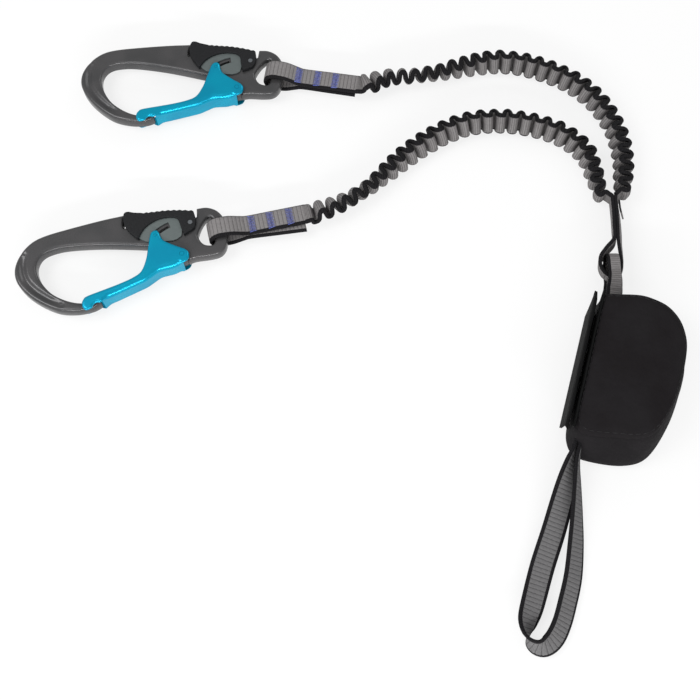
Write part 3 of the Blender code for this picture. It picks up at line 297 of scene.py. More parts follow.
def tube_faces(count, levels):
    """Faces between rings of count points each, with a lid on the first and on the last."""
    faces = []
    last = (levels - 1) * count
    for low in range(0, last, count):
        high = low + count
        for corner in range(count):
            after = (corner + 1) % count
            faces.append((low + corner, low + after, high + after, high + corner))
    return faces + [tuple(range(count))[::-1], tuple(range(last, last + count))]


def strap_section(width, middle, rim):
    """Places round a strap's section: a round selvedge along each edge of a flatter middle."""
    half = width / 2 - rim
    turns = [math.radians(angle) for angle in SELVEDGE_TURNS]
    right = [(half + rim * math.cos(turn), rim * math.sin(turn)) for turn in turns]
    upper = [(half * share, middle / 2) for share in FACE_SHARES]
    return right + upper + [(-across, -out) for across, out in right + upper]


def sweep(name, body, stations, section, finish, rib=0.0, depth=0.0):
    """A strap through stations of centre, width direction, width share and bow of its middle."""
    centres = [centre for centre, *_ in stations]
    vertices, places, length = [], [], 0.0
    for index, (centre, side, share, bow) in enumerate(stations):
        length += (centre - centres[max(index - 1, 0)]).length
        face = way_on(centres, index).normalized().cross(side).normalized()
        swell = depth * math.sin(math.pi * length / rib) ** 2 if rib else 0.0
        for across, out in section:
            lift = math.copysign(swell, out) if abs(across) < RIBBED_SHARE * STRAP_WIDTH else 0.0
            crown = max(0, 1 - (2 * across / STRAP_WIDTH) ** 2)
            vertices.append(centre + side * across * share + face * (out + lift) + bow * crown)
            places.append((across, length))
    piece = mesh_piece(name, body, vertices, tube_faces(len(section), len(stations)), finish)
    layer = piece.data.uv_layers.new(name="weave")
    for loop in piece.data.loops:
        layer.data[loop.index].uv = places[loop.vertex_index]
    return piece


def leaning_side(along, lean):
    """The width direction of a strap on edge, leaned to the left of its run."""
    left = Vector((-along.y, along.x, 0)).normalized()
    angle = math.radians(lean)
    return (Vector((0, 0, 1)) * math.cos(angle) + left * math.sin(angle)).normalized()


def webbing(name, face, pitch, groove, edge, shift=0.0):
    """Woven strap: ribs across it with a darker line of painted shade between them, and black
    selvedges.
    """
    cloth = Surface(name, {"Specular IOR Level": 0.16})
    across, along = cloth.weave()
    mottle = cloth.grain(cloth.place(), 0.9, 3)
    rib = abs((along / pitch).fraction() - 0.5) * 2
    line = rib.rise(1 - groove, 1)
    yarn = (across * 8.0).sine() * 0.5 + 0.5
    # The face darkens to a third of its grey in the groove between ribs, which is painted shade,
    # and also in random mottled patches.
    shade = tuple(0.34 * level for level in face[:3]) + (1,)
    tone = cloth.mixed(line * 0.8 + mottle.rise(0.4, 0.8) * 0.3, face, shade)
    tone = cloth.mixed(yarn * 0.12, tone, paint(70, 68, 68))
    knit = (along * 5.2).sine() * 0.5 + 0.5
    rim = (abs(across + shift) + knit * 0.18).rise(edge - 0.15, edge + 0.15)
    dark = cloth.mixed(knit * mottle, BLACK, paint(36, 35, 38))
    cloth.feed({"Base Color": cloth.mixed(rim, tone, dark),
                "Roughness": 0.84 + mottle * 0.12 - rim * 0.08})
    cloth.relief((1 - line) * 0.16 * (1 - rim) + yarn * 0.03 + knit * rim * 0.12
                 + mottle * 0.05)
    return cloth


GREY = paint(134, 131, 131)
BLACK = paint(18, 17, 19)
elastic = webbing("elastic webbing", GREY, 0.82, 0.45, 4.95, 0.65)


def folded_profile(length):
    """Along and across places of even folds between the two straight leads of an arm."""
    places = [(0.0, 0.0)]
    for step in range(WAVE_COUNT * WAVE_FINE_STEPS):
        phase = math.tau * (step + 0.5) / WAVE_FINE_STEPS
        turn = math.radians(WAVE_TURN) * math.sin(phase + WAVE_TIGHTNESS * math.sin(2 * phase))
        along, across = places[-1]
        places.append((along + math.cos(turn), across + math.sin(turn)))
    scale = (length - LOOP_LEAD - STEM_LEAD) / places[-1][0]
    middle = max(across for _, across in places) / 2
    profile = [(0.0, 0.0)]
    total = WAVE_COUNT * WAVE_STEPS
    for step in range(total + 1):
        along, across = places[step * WAVE_FINE_STEPS // WAVE_STEPS]
        settle = min(step, total - step, WAVE_STEPS // 2) / (WAVE_STEPS // 2)
        profile.append((LOOP_LEAD + along * scale, (across - middle * settle) * scale))
    for step in range(1, LEAD_STEPS + 1):
        profile.append((length - STEM_LEAD * (1 - step / LEAD_STEPS), 0.0))
    return profile


elastic_section = strap_section(STRAP_WIDTH, ELASTIC_THICKNESS, SELVEDGE_RADIUS)
for side, route in ARM_ROUTES.items():
    run = smooth_run([Vector(place) for place in route], ARM_STEPS)
    reach = run_lengths(run)
    stations = []
    for distance, across in folded_profile(reach[-1]):
        distance = min(distance, reach[-1] - 1e-6)
        index = max(k for k, length in enumerate(reach[:-1]) if length <= distance)
        share = (distance - reach[index]) / (reach[index + 1] - reach[index])
        place = run[index].lerp(run[index + 1], share)
        along = (run[min(index + 2, len(run) - 1)] - run[max(index - 1, 0)]).xyz.normalized()
        sway = 1 + SWAY * noise.noise(Vector((distance * SWAY_PACE, SWAY_SEED, len(side))))
        lean = place.w
        if STEADY_START < distance < reach[-1] - STEADY_END:
            lean += TILT * noise.noise(Vector((distance * TILT_PACE, TILT_SEED, len(side))))
        edge_way = leaning_side(along, lean)
        face = along.cross(edge_way).normalized()
        leaned = clamped(place.w / LEANED_OVER)
        across *= min(sway, SWAY_MOST) * WAVE_SIGNS[side]
        across *= UPRIGHT_SHARE + (LEANING_SHARE - UPRIGHT_SHARE) * leaned
        middle = place.xyz + face * across
        edge_drop = (STRAP_WIDTH / 2 - SELVEDGE_RADIUS) * abs(edge_way.z) + SELVEDGE_RADIUS
        middle.z = max(middle.z, edge_drop + REST_HEIGHT)
        stations.append((middle, edge_way, 1.0, face * across * FOLD_BULGE))
    arm = sweep(side + "_arm", "arms", stations, elastic_section, elastic)
    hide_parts(side + "_elastic_arm")

# The webbing loops in the carabiners' eyes. The arm's own end goes round the bar of the eye and
# is sewn back on itself with three blue bar tacks. The layer below shows along one edge.
LOOP_LENGTH = 51.5
LOOP_OVERRUN = 1.5
LOOP_STRAIGHT = 35.0
LOOP_OPEN = 18.0
LOOP_CURVE = [(0.72, 0.42), (0.36, 0.86), (0.0, 1.0)]
LOOP_STEPS = 10
BAR_RADIUS = 6.62
BAR_HEIGHT = 7.72
BAR_STEPS = 20
LAYER_GAP = 0.3
LAYER = (STRAP_THICKNESS + LAYER_GAP) / 2
LOOPS = {"upper": ((-43.42, 168.90), -8.45, -1.0, (14.4, 26.4, 37.9)),
         "lower": ((-75.11, 58.01), 12.5, -4.5, (19.6, 31.1, 43.0))}
STRAP_STEP = 0.4
FLAT_MIDDLE = 1.9
FLAT_SELVEDGE = 1.05
RIB_PITCH = 2.4
RIB_DEPTH = 0.12
TIGHT_RIB_DEPTH = 0.16
TACK_HALF = 2.0
TACK_REACH = 5.3
TACK_STROKES = 21
TACK_LIFT = 0.12
TACK_THREAD = 0.22
THREAD_SIDES = 6

flat_webbing = webbing("flat webbing", GREY, RIB_PITCH, 0.20, 5.3, 0.6)
flat_section = strap_section(STRAP_WIDTH, FLAT_MIDDLE, FLAT_SELVEDGE)

thread = Surface("blue tack thread", {"Specular IOR Level": 0.3})
fuzz = thread.grain(thread.place(), 1.3)
blues = thread.mixed(fuzz.rise(0.35, 0.65), paint(76, 92, 186), paint(140, 152, 222))
thread.feed({"Base Color": blues, "Roughness": 0.5 + fuzz * 0.3})
thread.relief(fuzz * 0.08)


def sewn(name, body, runs, radius, finish):
    """Round threads along runs of points, as one sewn piece."""
    vertices, faces = [], []
    for points in runs:
        first = len(vertices)
        for index, point in enumerate(points):
            along = way_on(points, index).normalized()
            side = along.orthogonal().normalized()
            rise = along.cross(side)
            for corner in range(THREAD_SIDES):
                turn = math.tau * corner / THREAD_SIDES
                vertices.append(point + (side * math.cos(turn) + rise * math.sin(turn)) * radius)
        faces += [tuple(first + corner for corner in face)
                  for face in tube_faces(THREAD_SIDES, len(points))]
    return mesh_piece(name, body, vertices, faces, finish, sharp=80)


for side, (bar, heading, tail, tacks) in LOOPS.items():
    turn = Matrix.Translation((*bar, BAR_HEIGHT)) @ Matrix.Rotation(math.radians(heading), 4, "Z")
    upper = [Vector((LOOP_LENGTH + LOOP_OVERRUN, LAYER)), Vector((LOOP_STRAIGHT, LAYER)),
             Vector((LOOP_OPEN, LAYER))]
    upper += [Vector((LOOP_OPEN * out, BAR_RADIUS * up)) for out, up in LOOP_CURVE]
    upper = smooth_run(upper, LOOP_STEPS)[:-1]
    bend = [BAR_RADIUS * Vector((-math.sin(math.pi * step / BAR_STEPS),
                                 math.cos(math.pi * step / BAR_STEPS)))
            for step in range(BAR_STEPS + 1)]
    lower = [Vector((min(point.x, LOOP_LENGTH), -point.y)) for point in upper[::-1]]
    slant = math.tan(math.radians(tail))
    profile = [Vector((point.x, 0, point.y)) for point in upper + bend]
    profile += [Vector((point.x, max(point.x, 0) * slant, point.y)) for point in lower]
    stations = [(turn @ place, turn.to_3x3() @ Vector((0, -1, 0)), 1.0, Vector())
                for place in even_run(profile, STRAP_STEP)]
    loop = sweep(side + "_loop", "arms", stations, flat_section, flat_webbing, RIB_PITCH,
                 TIGHT_RIB_DEPTH)
    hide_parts(side + "_webbing_loop")
    for number, middle in enumerate(tacks):
        for level, facing in (("top", 1), ("back", -1)):
            points = []
            for stroke in range(TACK_STROKES):
                place = middle + (TACK_HALF if stroke % 2 else -TACK_HALF)
                across = TACK_REACH * (2 * stroke / (TACK_STROKES - 1) - 1)
                rest = min(upper, key=lambda point: abs(point.x - place)).y
                height = rest + STRAP_THICKNESS / 2 + TACK_LIFT
                points.append(turn @ Vector((place, across, facing * height)))
            tack = sewn(f"{side}_tack_{number}_{level}", "arms", [points], TACK_THREAD, thread)

# The carabiner bodies. Each is forged from an aluminium bar, with rolled edges and a shallow
# recess along the bend, and is anodised a dark satin grey. Its eye takes the webbing loop, and
# its bores take the rivets. Outlines are shares of the carabiner's length and width.
CARABINERS = {"upper": ((-68.01, 156.13, 7.72), -11.65), "lower": ((-96.61, 40.53, 7.72), 0.0)}
CARABINER_LENGTH = 128
CARABINER_WIDTH = 68
BODY_HALF = 4.1
BODY_ROLL = 1.7
BODY_BANDS = (0.1, 0.35, 0.7, 1.15, 1.75, 2.6)
BACK = [
    (-0.2905, 0.396), (-0.395, 0.347), (-0.537, 0.268), (-0.650, 0.196), (-0.713, 0.127),
    (-0.757, 0.018), (-0.778, -0.118), (-0.764, -0.244), (-0.716, -0.356), (-0.645, -0.450),
    (-0.559, -0.519), (-0.477, -0.529), (-0.409, -0.504), (-0.377, -0.476)]
NOSE = [(-0.377, -0.476), (-0.362, -0.447), (-0.372, -0.416), (-0.402, -0.421)]
BASKET = [
    (-0.402, -0.421), (-0.453, -0.449), (-0.524, -0.425), (-0.595, -0.359), (-0.647, -0.257),
    (-0.675, -0.153), (-0.676, -0.065), (-0.653, 0.009), (-0.600, 0.057), (-0.523, 0.085),
    (-0.370, 0.100), (-0.180, 0.091), (-0.082, 0.079), (-0.043, 0.036)]
EYE = [
    (0.028, -0.047), (0.062, -0.021), (0.133, 0.001), (0.175, 0.028), (0.198, 0.082),
    (0.205, 0.162), (0.200, 0.265), (0.184, 0.368), (0.150, 0.444), (0.102, 0.476), (0.053, 0.464)]
LEVER_SEAT = [
    (0.053, 0.464), (0.056, 0.385), (0.035, 0.359), (-0.062, 0.353), (-0.141, 0.335),
    (-0.219, 0.303), (-0.284, 0.268), (-0.2905, 0.300), (-0.2905, 0.396)]
EYE_HOLE = [
    (0.064, 0.200), (0.081, 0.140), (0.105, 0.108), (0.139, 0.110), (0.149, 0.165),
    (0.138, 0.274), (0.130, 0.358), (0.109, 0.380), (0.088, 0.335), (0.073, 0.268)]
RECESS = [
    (-0.744, 0.000), (-0.742, -0.120), (-0.722, -0.231), (-0.677, -0.324), (-0.615, -0.402),
    (-0.545, -0.462)]
RECESS_STEPS = 30
RECESS_DEPTH = 1.3
RECESS_REACH = 3.0
RECESS_FADE = 7
RECESS_MARGIN = 0.8
GRID_ROWS = range(-60, 60)
GRID_COLUMNS = range(-150, 60)
GRID_STEP = (0.7, 0.6)
LUG_RADIUS = 4.4
LUG_TURNS = range(150, 331, 12)
GATE_BORE = 2.98
LEVER_BORE = 2.68
LEVER_PIVOT = Vector((3.84, 20.81))
BORE_SIDES = 24
PIN_SLOT_RADII = (19.4, 21.7)
PIN_SLOT_TURNS = range(147, 116, -3)
OUTLINE_STEPS = 8
EDGE_STEP = 0.6
FINE_STEP = 0.1
BAND_SHARE = 0.95
CELL = 0.12
LEAST_GAP = 0.08


def anodised(name, colour, shade, roughness, metal):
    """Anodised aluminium: satin, with a fine blasted grain and faint handling marks."""
    finish = Surface(name, {"Metallic": metal, "Specular IOR Level": 0.35})
    spot = finish.place()
    cloud = finish.grain(spot, 0.06, 3)
    grit = finish.grain(spot, 3.2, 2)
    finish.feed({"Base Color": finish.mixed(cloud.rise(0.3, 0.7), colour, shade),
                 "Roughness": roughness + (grit - 0.5) * 0.14 + (cloud - 0.5) * 0.16})
    finish.relief(grit * 0.02)
    return finish


body_finish = anodised("grey anodised body", paint(85, 84, 85), paint(75, 75, 76), 0.27, 0.45)


def placed(shares):
    return [Vector((along * CARABINER_LENGTH, across * CARABINER_WIDTH))
            for along, across in shares]


def curved(shares, steps=OUTLINE_STEPS):
    return smooth_run(placed(shares), steps)


def open_run(points, step):
    return [point.xy for point in even_run([Vector((*point, 0)) for point in points], step)]


def closed_run(points, step=EDGE_STEP):
    """Points at an even distance round a closed outline."""
    return open_run(points + points[:1], step)[:-1]


def arc(centre, radius, turns):
    return [centre + radius * Vector((math.cos(turn), math.sin(turn))) for turn in turns]


def circle(centre, radius, count):
    return arc(centre, radius, [math.tau * step / count for step in range(count)])


def nearest(points):
    tree = kdtree.KDTree(len(points))
    for index, point in enumerate(points):
        tree.insert((*point, 0), index)
    tree.balance()
    return lambda point: tree.find((*point, 0))[2]


def within(point, outline):
    odd = False
    for start, end in zip(outline, outline[1:] + outline[:1]):
        if (start.y > point.y) != (end.y > point.y):
            if point.x < start.x + (end.x - start.x) * (point.y - start.y) / (end.y - start.y):
                odd = not odd
    return odd


def roll(distance, radius):
    """How far a rolled edge lies below the flat, at a distance from the edge."""
    return radius * (1 - math.sqrt(1 - clamped((radius - distance) / radius) ** 2))


def face_middle(face, points):
    return sum((points[corner] for corner in face), Vector((0, 0))) / 3


def spread_points(rolled, plain, extra, bands, line=()):
    """Points and faces over an outline, close together along its rolled edges."""
    loops = [closed_run(loop) for loop in rolled] + plain
    near = nearest([point for loop in rolled for point in closed_run(loop, FINE_STEP)])
    points, edges = [], []
    for loop in loops:
        first = len(points)
        points += loop
        edges += [(first + k, first + (k + 1) % len(loop)) for k in range(len(loop))]
    if line:
        edges += [(len(points) + k, len(points) + k + 1) for k in range(len(line) - 1)]
        points += line
    fixed = len(points)
    for loop in loops[:len(rolled)]:
        area = sum(a.x * b.y - b.x * a.y for a, b in zip(loop, loop[1:] + loop[:1]))
        inward = (1 if area > 0 else -1) * (1 if loop is loops[0] else -1)
        for before, point, after in zip(loop[-1:] + loop[:-1], loop, loop[1:] + loop[:1]):
            run = (after - before).normalized()
            for radius in bands:
                moved = point + Vector((-run.y, run.x)) * radius * inward
                if near(moved) > BAND_SHARE * radius:
                    points.append(moved)
    points += extra
    chosen = points[:fixed]
    taken = nearest(points[:fixed])
    cells = set()
    for point in points[fixed:]:
        cell = (round(point.x / CELL), round(point.y / CELL))
        if cell not in cells and taken(point) > LEAST_GAP:
            cells.add(cell)
            chosen.append(point)
    flat, _, triangles, *_ = delaunay_2d_cdt(chosen, edges, [], 1, 1e-5)
    return flat, [tuple(face) for face in triangles
                  if not any(within(face_middle(face, flat), hole) for hole in loops[1:])]


def directed_edges(faces):
    return {(face[k], face[(k + 1) % 3]) for face in faces for k in range(3)}


def rim_edges(faces):
    """The directed edges that only one face uses."""
    seen = directed_edges(faces)
    return [edge for edge in seen if (edge[1], edge[0]) not in seen]


def carabiner_piece(side, name, body, packed, points, faces, finish):
    """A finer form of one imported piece, set in its carabiner's place."""
    origin, turn = CARABINERS[side]
    place = Matrix.Translation(origin) @ Matrix.Rotation(math.radians(turn), 4, "Z")
    vertices = [place @ Vector(point) for point in points]
    piece = mesh_piece(f"{side}_{name}", f"{side}_{body}", vertices, faces, finish, sharp=32)
    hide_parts(f"{side}_{packed}")


pivot = Vector((0, 0))
lug = arc(pivot, LUG_RADIUS, [math.radians(angle) for angle in LUG_TURNS])
outer = curved(BACK) + curved(NOSE) + curved(BASKET) + lug + curved(EYE) + placed(LEVER_SEAT)
eye = curved(EYE_HOLE + EYE_HOLE[:1])[:-1]
turns = [math.radians(angle) for angle in PIN_SLOT_TURNS]
pin_slot = arc(pivot, PIN_SLOT_RADII[1], turns) + arc(pivot, PIN_SLOT_RADII[0], turns[::-1])
bores = [circle(pivot, GATE_BORE, BORE_SIDES), circle(LEVER_PIVOT, LEVER_BORE, BORE_SIDES),
         pin_slot]
recess_line = curved(RECESS, RECESS_STEPS)
from_recess = nearest(recess_line)
recess_ends = recess_line[0], recess_line[-1]
extra = []
for row in GRID_ROWS:
    for column in GRID_COLUMNS:
        point = Vector(((column + (row % 2) / 2) * GRID_STEP[0], row * GRID_STEP[1]))
        if from_recess(point) < RECESS_REACH + RECESS_MARGIN and within(point, outer):
            extra.append(point)
flat, faces = spread_points([outer, eye], bores, extra, BODY_BANDS)
from_edge = nearest(closed_run(outer, FINE_STEP) + closed_run(eye, FINE_STEP))


def body_height(point):
    """Half the body's thickness at a point: the flat, less its rolled edge and the recess."""
    away = min(from_recess(point) / RECESS_REACH, 1)
    ends = min((point - end).length for end in recess_ends) / RECESS_FADE
    dip = RECESS_DEPTH * (0.5 + 0.5 * math.cos(math.pi * away)) * min(ends, 1) ** 0.5
    return BODY_HALF - roll(from_edge(point), BODY_ROLL) - dip


heights = [body_height(point) for point in flat]
count = len(flat)
points = ([(*point, height) for point, height in zip(flat, heights)]
          + [(*point, -height) for point, height in zip(flat, heights)])
walls = [(b, a, a + count, b + count) for a, b in rim_edges(faces)]
faces = faces + [tuple(count + k for k in face[::-1]) for face in faces] + walls
for side in CARABINERS:
    carabiner_piece(side, "body", "carabiner", "carabiner_body", points, faces, body_finish)

# The gates. Each is a channel of bright blue anodised aluminium that straddles the body, open
# inwards and closed by a web along its near edge. It turns on a rivet, its notch takes the
# nose, and the pin through its ear runs in the body's slot.
GATE_HALF = 6.9
GATE_INNER = 5.5
GATE_ROLL = 1.35
GATE_NEAR_ROLL = 3.2
GATE_BANDS = (0.1, 0.35, 0.75, 1.3, 2.0, 2.8, 3.6)
GATE_FAR = [
    (-0.431, -0.526), (-0.442, -0.502), (-0.446, -0.465), (-0.441, -0.433), (-0.424, -0.400),
    (-0.336, -0.329), (-0.281, -0.284), (-0.220, -0.224), (-0.184, -0.163), (-0.166, -0.049),
    (-0.161, 0.062), (-0.155, 0.185), (-0.145, 0.220), (-0.128, 0.230), (-0.115, 0.211),
    (-0.103, 0.162), (-0.083, 0.124), (-0.027, 0.078), (0.012, 0.052)]
GATE_HEEL = [
    (0.012, 0.052), (0.028, 0.026), (0.034, -0.012), (0.030, -0.047), (0.018, -0.070),
    (-0.005, -0.094)]
GATE_NEAR = [
    (-0.005, -0.094), (-0.040, -0.128), (-0.074, -0.146), (-0.103, -0.165), (-0.131, -0.206),
    (-0.163, -0.253), (-0.202, -0.293), (-0.285, -0.374), (-0.336, -0.424), (-0.394, -0.504),
    (-0.418, -0.529), (-0.431, -0.526)]
GATE_WEB = [
    (0.008, -0.130), (0.008, -0.0705), (-0.020, -0.084), (-0.044, -0.103), (-0.078, -0.121),
    (-0.109, -0.144), (-0.138, -0.185), (-0.169, -0.231), (-0.208, -0.271), (-0.291, -0.351),
    (-0.352, -0.412), (-0.352, -0.480)]
WEB_STEPS = 4
OUTSIDE = -80
NOTCH = Vector((-47.6, -34.2))
NOTCH_RADIUS = 3.0
GATE_EDGE_STEP = 0.3
GATE_PIN = Vector((-16.70, 12.00))
RIVET_HOLE, RIVET_SIDES = 1.45, 16
PIN_HOLE, PIN_SIDES = 0.95, 12
ROLL_ENDS = (-44.8, 0.8)
ROLL_FADE = 2.5
LEAST_WALL = 0.04
CUT_BACK = 2.8
CUT_BACK_WAY = Vector((-0.6, 0.8))
CUT_BACK_FROM = -45.3
CUT_BACK_FADE = 2
CUT_BACK_REACH = 5.5
WELD_REACH = 0.02
SMOOTH_ANGLE = 38

gate_finish = anodised("blue anodised gate", paint(0, 163, 196), paint(0, 151, 187), 0.30, 0.6)

near_run = curved(GATE_NEAR)
rim = curved(GATE_FAR) + curved(GATE_HEEL)[1:] + near_run[1:-1]
rim = [NOTCH + (point - NOTCH).normalized() * max((point - NOTCH).length, NOTCH_RADIUS)
       for point in closed_run(rim, GATE_EDGE_STEP)]
web_line = placed(GATE_WEB[:1]) + curved(GATE_WEB[1:-1], WEB_STEPS) + placed(GATE_WEB[-1:])
web_area = web_line + [Vector((web_line[-1].x, OUTSIDE)), Vector((web_line[0].x, OUTSIDE))]
holes = [circle(pivot, RIVET_HOLE, RIVET_SIDES), circle(GATE_PIN, PIN_HOLE, PIN_SIDES)]
flat, faces = spread_points([rim], holes, [], GATE_BANDS, web_line)
from_rim = nearest(closed_run(rim, FINE_STEP))
from_near = nearest(open_run(near_run, FINE_STEP))


def gate_height(point):
    """The roll along the near edge is broad over the web, and dies away before its ends."""
    fade = (clamped((point.x - ROLL_ENDS[0]) / ROLL_FADE)
            * clamped((ROLL_ENDS[1] - point.x) / ROLL_FADE))
    broad = GATE_ROLL + (GATE_NEAR_ROLL - GATE_ROLL) * fade
    return GATE_HALF - max(roll(from_rim(point), GATE_ROLL), roll(from_near(point), broad))


def cut_back(point):
    """The back cheek stops short of the near edge round the nose."""
    amount = (CUT_BACK * clamped((CUT_BACK_FROM - point.x) / CUT_BACK_FADE)
              * clamped(1 - from_near(point) / CUT_BACK_REACH))
    return point + CUT_BACK_WAY * amount


# Four layers of points: the outer and inner face of the front cheek, and of the back cheek.
count = len(flat)
heights = [gate_height(point) for point in flat]
inner = [min(GATE_INNER, height - LEAST_WALL) for height in heights]
under = [cut_back(point) for point in flat]
points = [(*point, height) for point, height in zip(flat, heights)]
points += [(*point, height) for point, height in zip(flat, inner)]
points += [(*point, -height) for point, height in zip(under, inner)]
points += [(*point, -height) for point, height in zip(under, heights)]
solid = [face for face in faces if within(face_middle(face, flat), web_area)]
filled = set(solid)
hollow = [face for face in faces if face not in filled]
in_solid = directed_edges(solid)
outline = rim_edges(faces)
outer_edges = set(outline)
shell = faces + [tuple(3 * count + k for k in face[::-1]) for face in faces]
shell += [tuple(level * count + k for k in face) for face in hollow for level in (1, 2)]
for a, b in outline:
    for level in (0, 1, 2) if (a, b) in in_solid else (0, 2):
        shell.append((b + level * count, a + level * count,
                      a + (level + 1) * count, b + (level + 1) * count))
shell += [(a + count, b + count, b + 2 * count, a + 2 * count)
          for a, b in rim_edges(solid) if (a, b) not in outer_edges]


def soft_shading_group():
    """Shades faces smooth, except over edges sharper than an angle."""
    group = bpy.data.node_groups.new("soft shading", "GeometryNodeTree")
    for name, way, kind in (("Geometry", "OUTPUT", "Geometry"), ("Geometry", "INPUT", "Geometry"),
                            ("Angle", "INPUT", "Float")):
        group.interface.new_socket(name, in_out=way, socket_type="NodeSocket" + kind)
    nodes = NodeTree(group)
    shape = nodes.node("NodeGroupInput", {}, {}, "Geometry")
    limit = nodes.node("NodeGroupInput", {}, {}, "Angle")
    bend = nodes.node("GeometryNodeInputMeshEdgeAngle", {}, {}, "Unsigned Angle")
    flat = nodes.node("FunctionNodeCompare", {"data_type": "FLOAT", "operation": "LESS_EQUAL"},
                      {0: bend, 1: limit})
    faces = nodes.node("GeometryNodeSetShadeSmooth", {"domain": "FACE"}, {"Geometry": shape})
    edges = nodes.node("GeometryNodeSetShadeSmooth", {"domain": "EDGE"},
                       {"Geometry": faces, "Shade Smooth": flat})
    nodes.node("NodeGroupOutput", {}, {"Geometry": edges})
    return group


def dress(name, finish, angle=SMOOTH_ANGLE):
    """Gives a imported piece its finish, and smooths the look of it without moving it."""
    node = cad[name]
    node.data.materials.clear()
    node.data.materials.append(finish.material)
    weld = node.modifiers.new("weld", "WELD")
    weld.merge_threshold = WELD_REACH * MM
    shade = node.modifiers.new("shade", "NODES")
    shade.node_group = soft_shading
    shade["Socket_2"] = math.radians(angle)
    even = node.modifiers.new("even", "WEIGHTED_NORMAL")
    even.keep_sharp = True


soft_shading = soft_shading_group()
for side in CARABINERS:
    carabiner_piece(side, "gate_channel", "gate", "gate", points, shell, gate_finish)
    for small in ("gate_rivet", "gate_pin"):
        dress(f"{side}_{small}", gate_finish)

# The palm levers. Each is a black moulding with a pebbled face, which the palm presses against
# the back of the body. It holds a brushed steel cam plate on either side, turns on a steel
# rivet, and coil springs push the lever and the gate home.
SPRING_ANGLE = 75

lever_finish = Surface("black moulded lever", {"Specular IOR Level": 0.3})
pebble = lever_finish.grain(lever_finish.place(), 2.6, 3)
lever_finish.feed({"Base Color": lever_finish.mixed(pebble, paint(12, 13, 15), paint(23, 24, 27)),
                   "Roughness": 0.48 + pebble * 0.2})
lever_finish.relief(pebble.rise(0.35, 0.65) * 0.06)

steel_finish = Surface("cam plate steel", {"Metallic": 0.5, "Specular IOR Level": 0.4})
across, along, _ = steel_finish.parts(steel_finish.place())
brushed = steel_finish.node("ShaderNodeCombineXYZ", {}, {0: across * 0.25, 1: along * 4.0})
streak = steel_finish.grain(brushed, 1.2, 3)
greys = steel_finish.mixed(streak, paint(92, 100, 100), paint(116, 124, 123))
steel_finish.feed({"Base Color": greys, "Roughness": 0.36 + streak * 0.18})
steel_finish.relief(streak * 0.015)

bright_finish = Surface("turned steel", {"Metallic": 0.8})
turned = bright_finish.grain(bright_finish.place(), 3.0, 2)
greys = bright_finish.mixed(turned, paint(92, 96, 100), paint(134, 138, 142))
bright_finish.feed({"Base Color": greys, "Roughness": 0.34 + turned * 0.16})
bright_finish.relief(turned * 0.01)

for side in CARABINERS:
    dress(side + "_palm_lever", lever_finish)
    for face in ("front", "back"):
        dress(f"{side}_cam_plate_{face}", steel_finish)
    dress(side + "_lever_rivet", bright_finish)
    for small in ("gate_spring", "lever_spring"):
        dress(f"{side}_{small}", bright_finish, SPRING_ANGLE)

# The Y strap. Both arm ends run down a stem side by side, sewn through, and the strap below
# them forms a drop-shaped loop on edge that holds the absorber.
STEM_HEIGHT = 10.4
STEM_ROUTE = [
    (165.7, 78.6, 15, 1.0), (166.0, 68.5, 19, 1.0), (165.9, 58.7, 20, 1.0),
    (165.5, 50.5, 20, 1.0), (165.6, 43.9, 19, 0.95), (165.7, 38.3, 17, 0.8),
    (165.2, 32.8, 12, 0.70), (163.4, 28.2, 6, 0.62), (159.6, 25.9, 0, 0.58),
    (155.0, 28.2, 4, 0.63), (152.8, 32.8, 8, 0.75), (153.2, 38.3, 10, 0.9),
    (157.1, 43.9, 10, 1.0), (162.4, 50.5, 10, 1.0), (162.9, 58.7, 9, 1.0),
    (163.2, 68.5, 8, 1.0), (163.1, 78.6, 8, 1.0)]
STEM_TAIL = [(167.8, 75.5, 15, 0.86), (168.1, 71.5, 19, 0.86), (168.6, 67.8, 20, 0.86)]
TAIL_MIDDLE = 0.9
TAIL_SELVEDGE = 0.5
ROUTE_STEPS = 8


def edge_strap(name, route, section):
    """A strap on edge through places of x, y, lean to the left and width share."""
    stations = []
    for place in even_run(smooth_run([Vector(place) for place in route], ROUTE_STEPS), STRAP_STEP):
        lean = math.radians(place.z)
        edge_way = Vector((-math.sin(lean), 0, math.cos(lean)))
        stations.append((Vector((place.x, place.y, STEM_HEIGHT)), edge_way, place.w, Vector()))
    piece = sweep(name, "arms", stations, section, flat_webbing, RIB_PITCH, RIB_DEPTH)
    return piece


strap = edge_strap("y_strap_webbing", STEM_ROUTE, flat_section)
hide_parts("y_strap")
edge_strap("stem_tail", STEM_TAIL, strap_section(STRAP_WIDTH, TAIL_MIDDLE, TAIL_SELVEDGE))

# The absorber's loop. It is a flat strap that passes over and under the foot of the drop, and
# turns onto its side where it goes into the pouch.
DROP_FOOT = Vector((160.47, 25.83, 10.4))
LINK_LENGTH = 24.5
LINK_HALF = 6.6
LINK_FLAT = 0.60
LINK_CURVE = [(0.42, 0.45), (0.27, 0.82), (0.13, 1.0)]
LINK_STEPS = 20
LINK_REACH = 14.7
LINK_LEAN = math.radians(54)
LINK_LEAN_START = 0.3
LINK_PINCH = 0.58
LINK_SHIFT = 0.9
LINK_DRIFT = 3.6
POUCH_TURN = math.radians(-16)

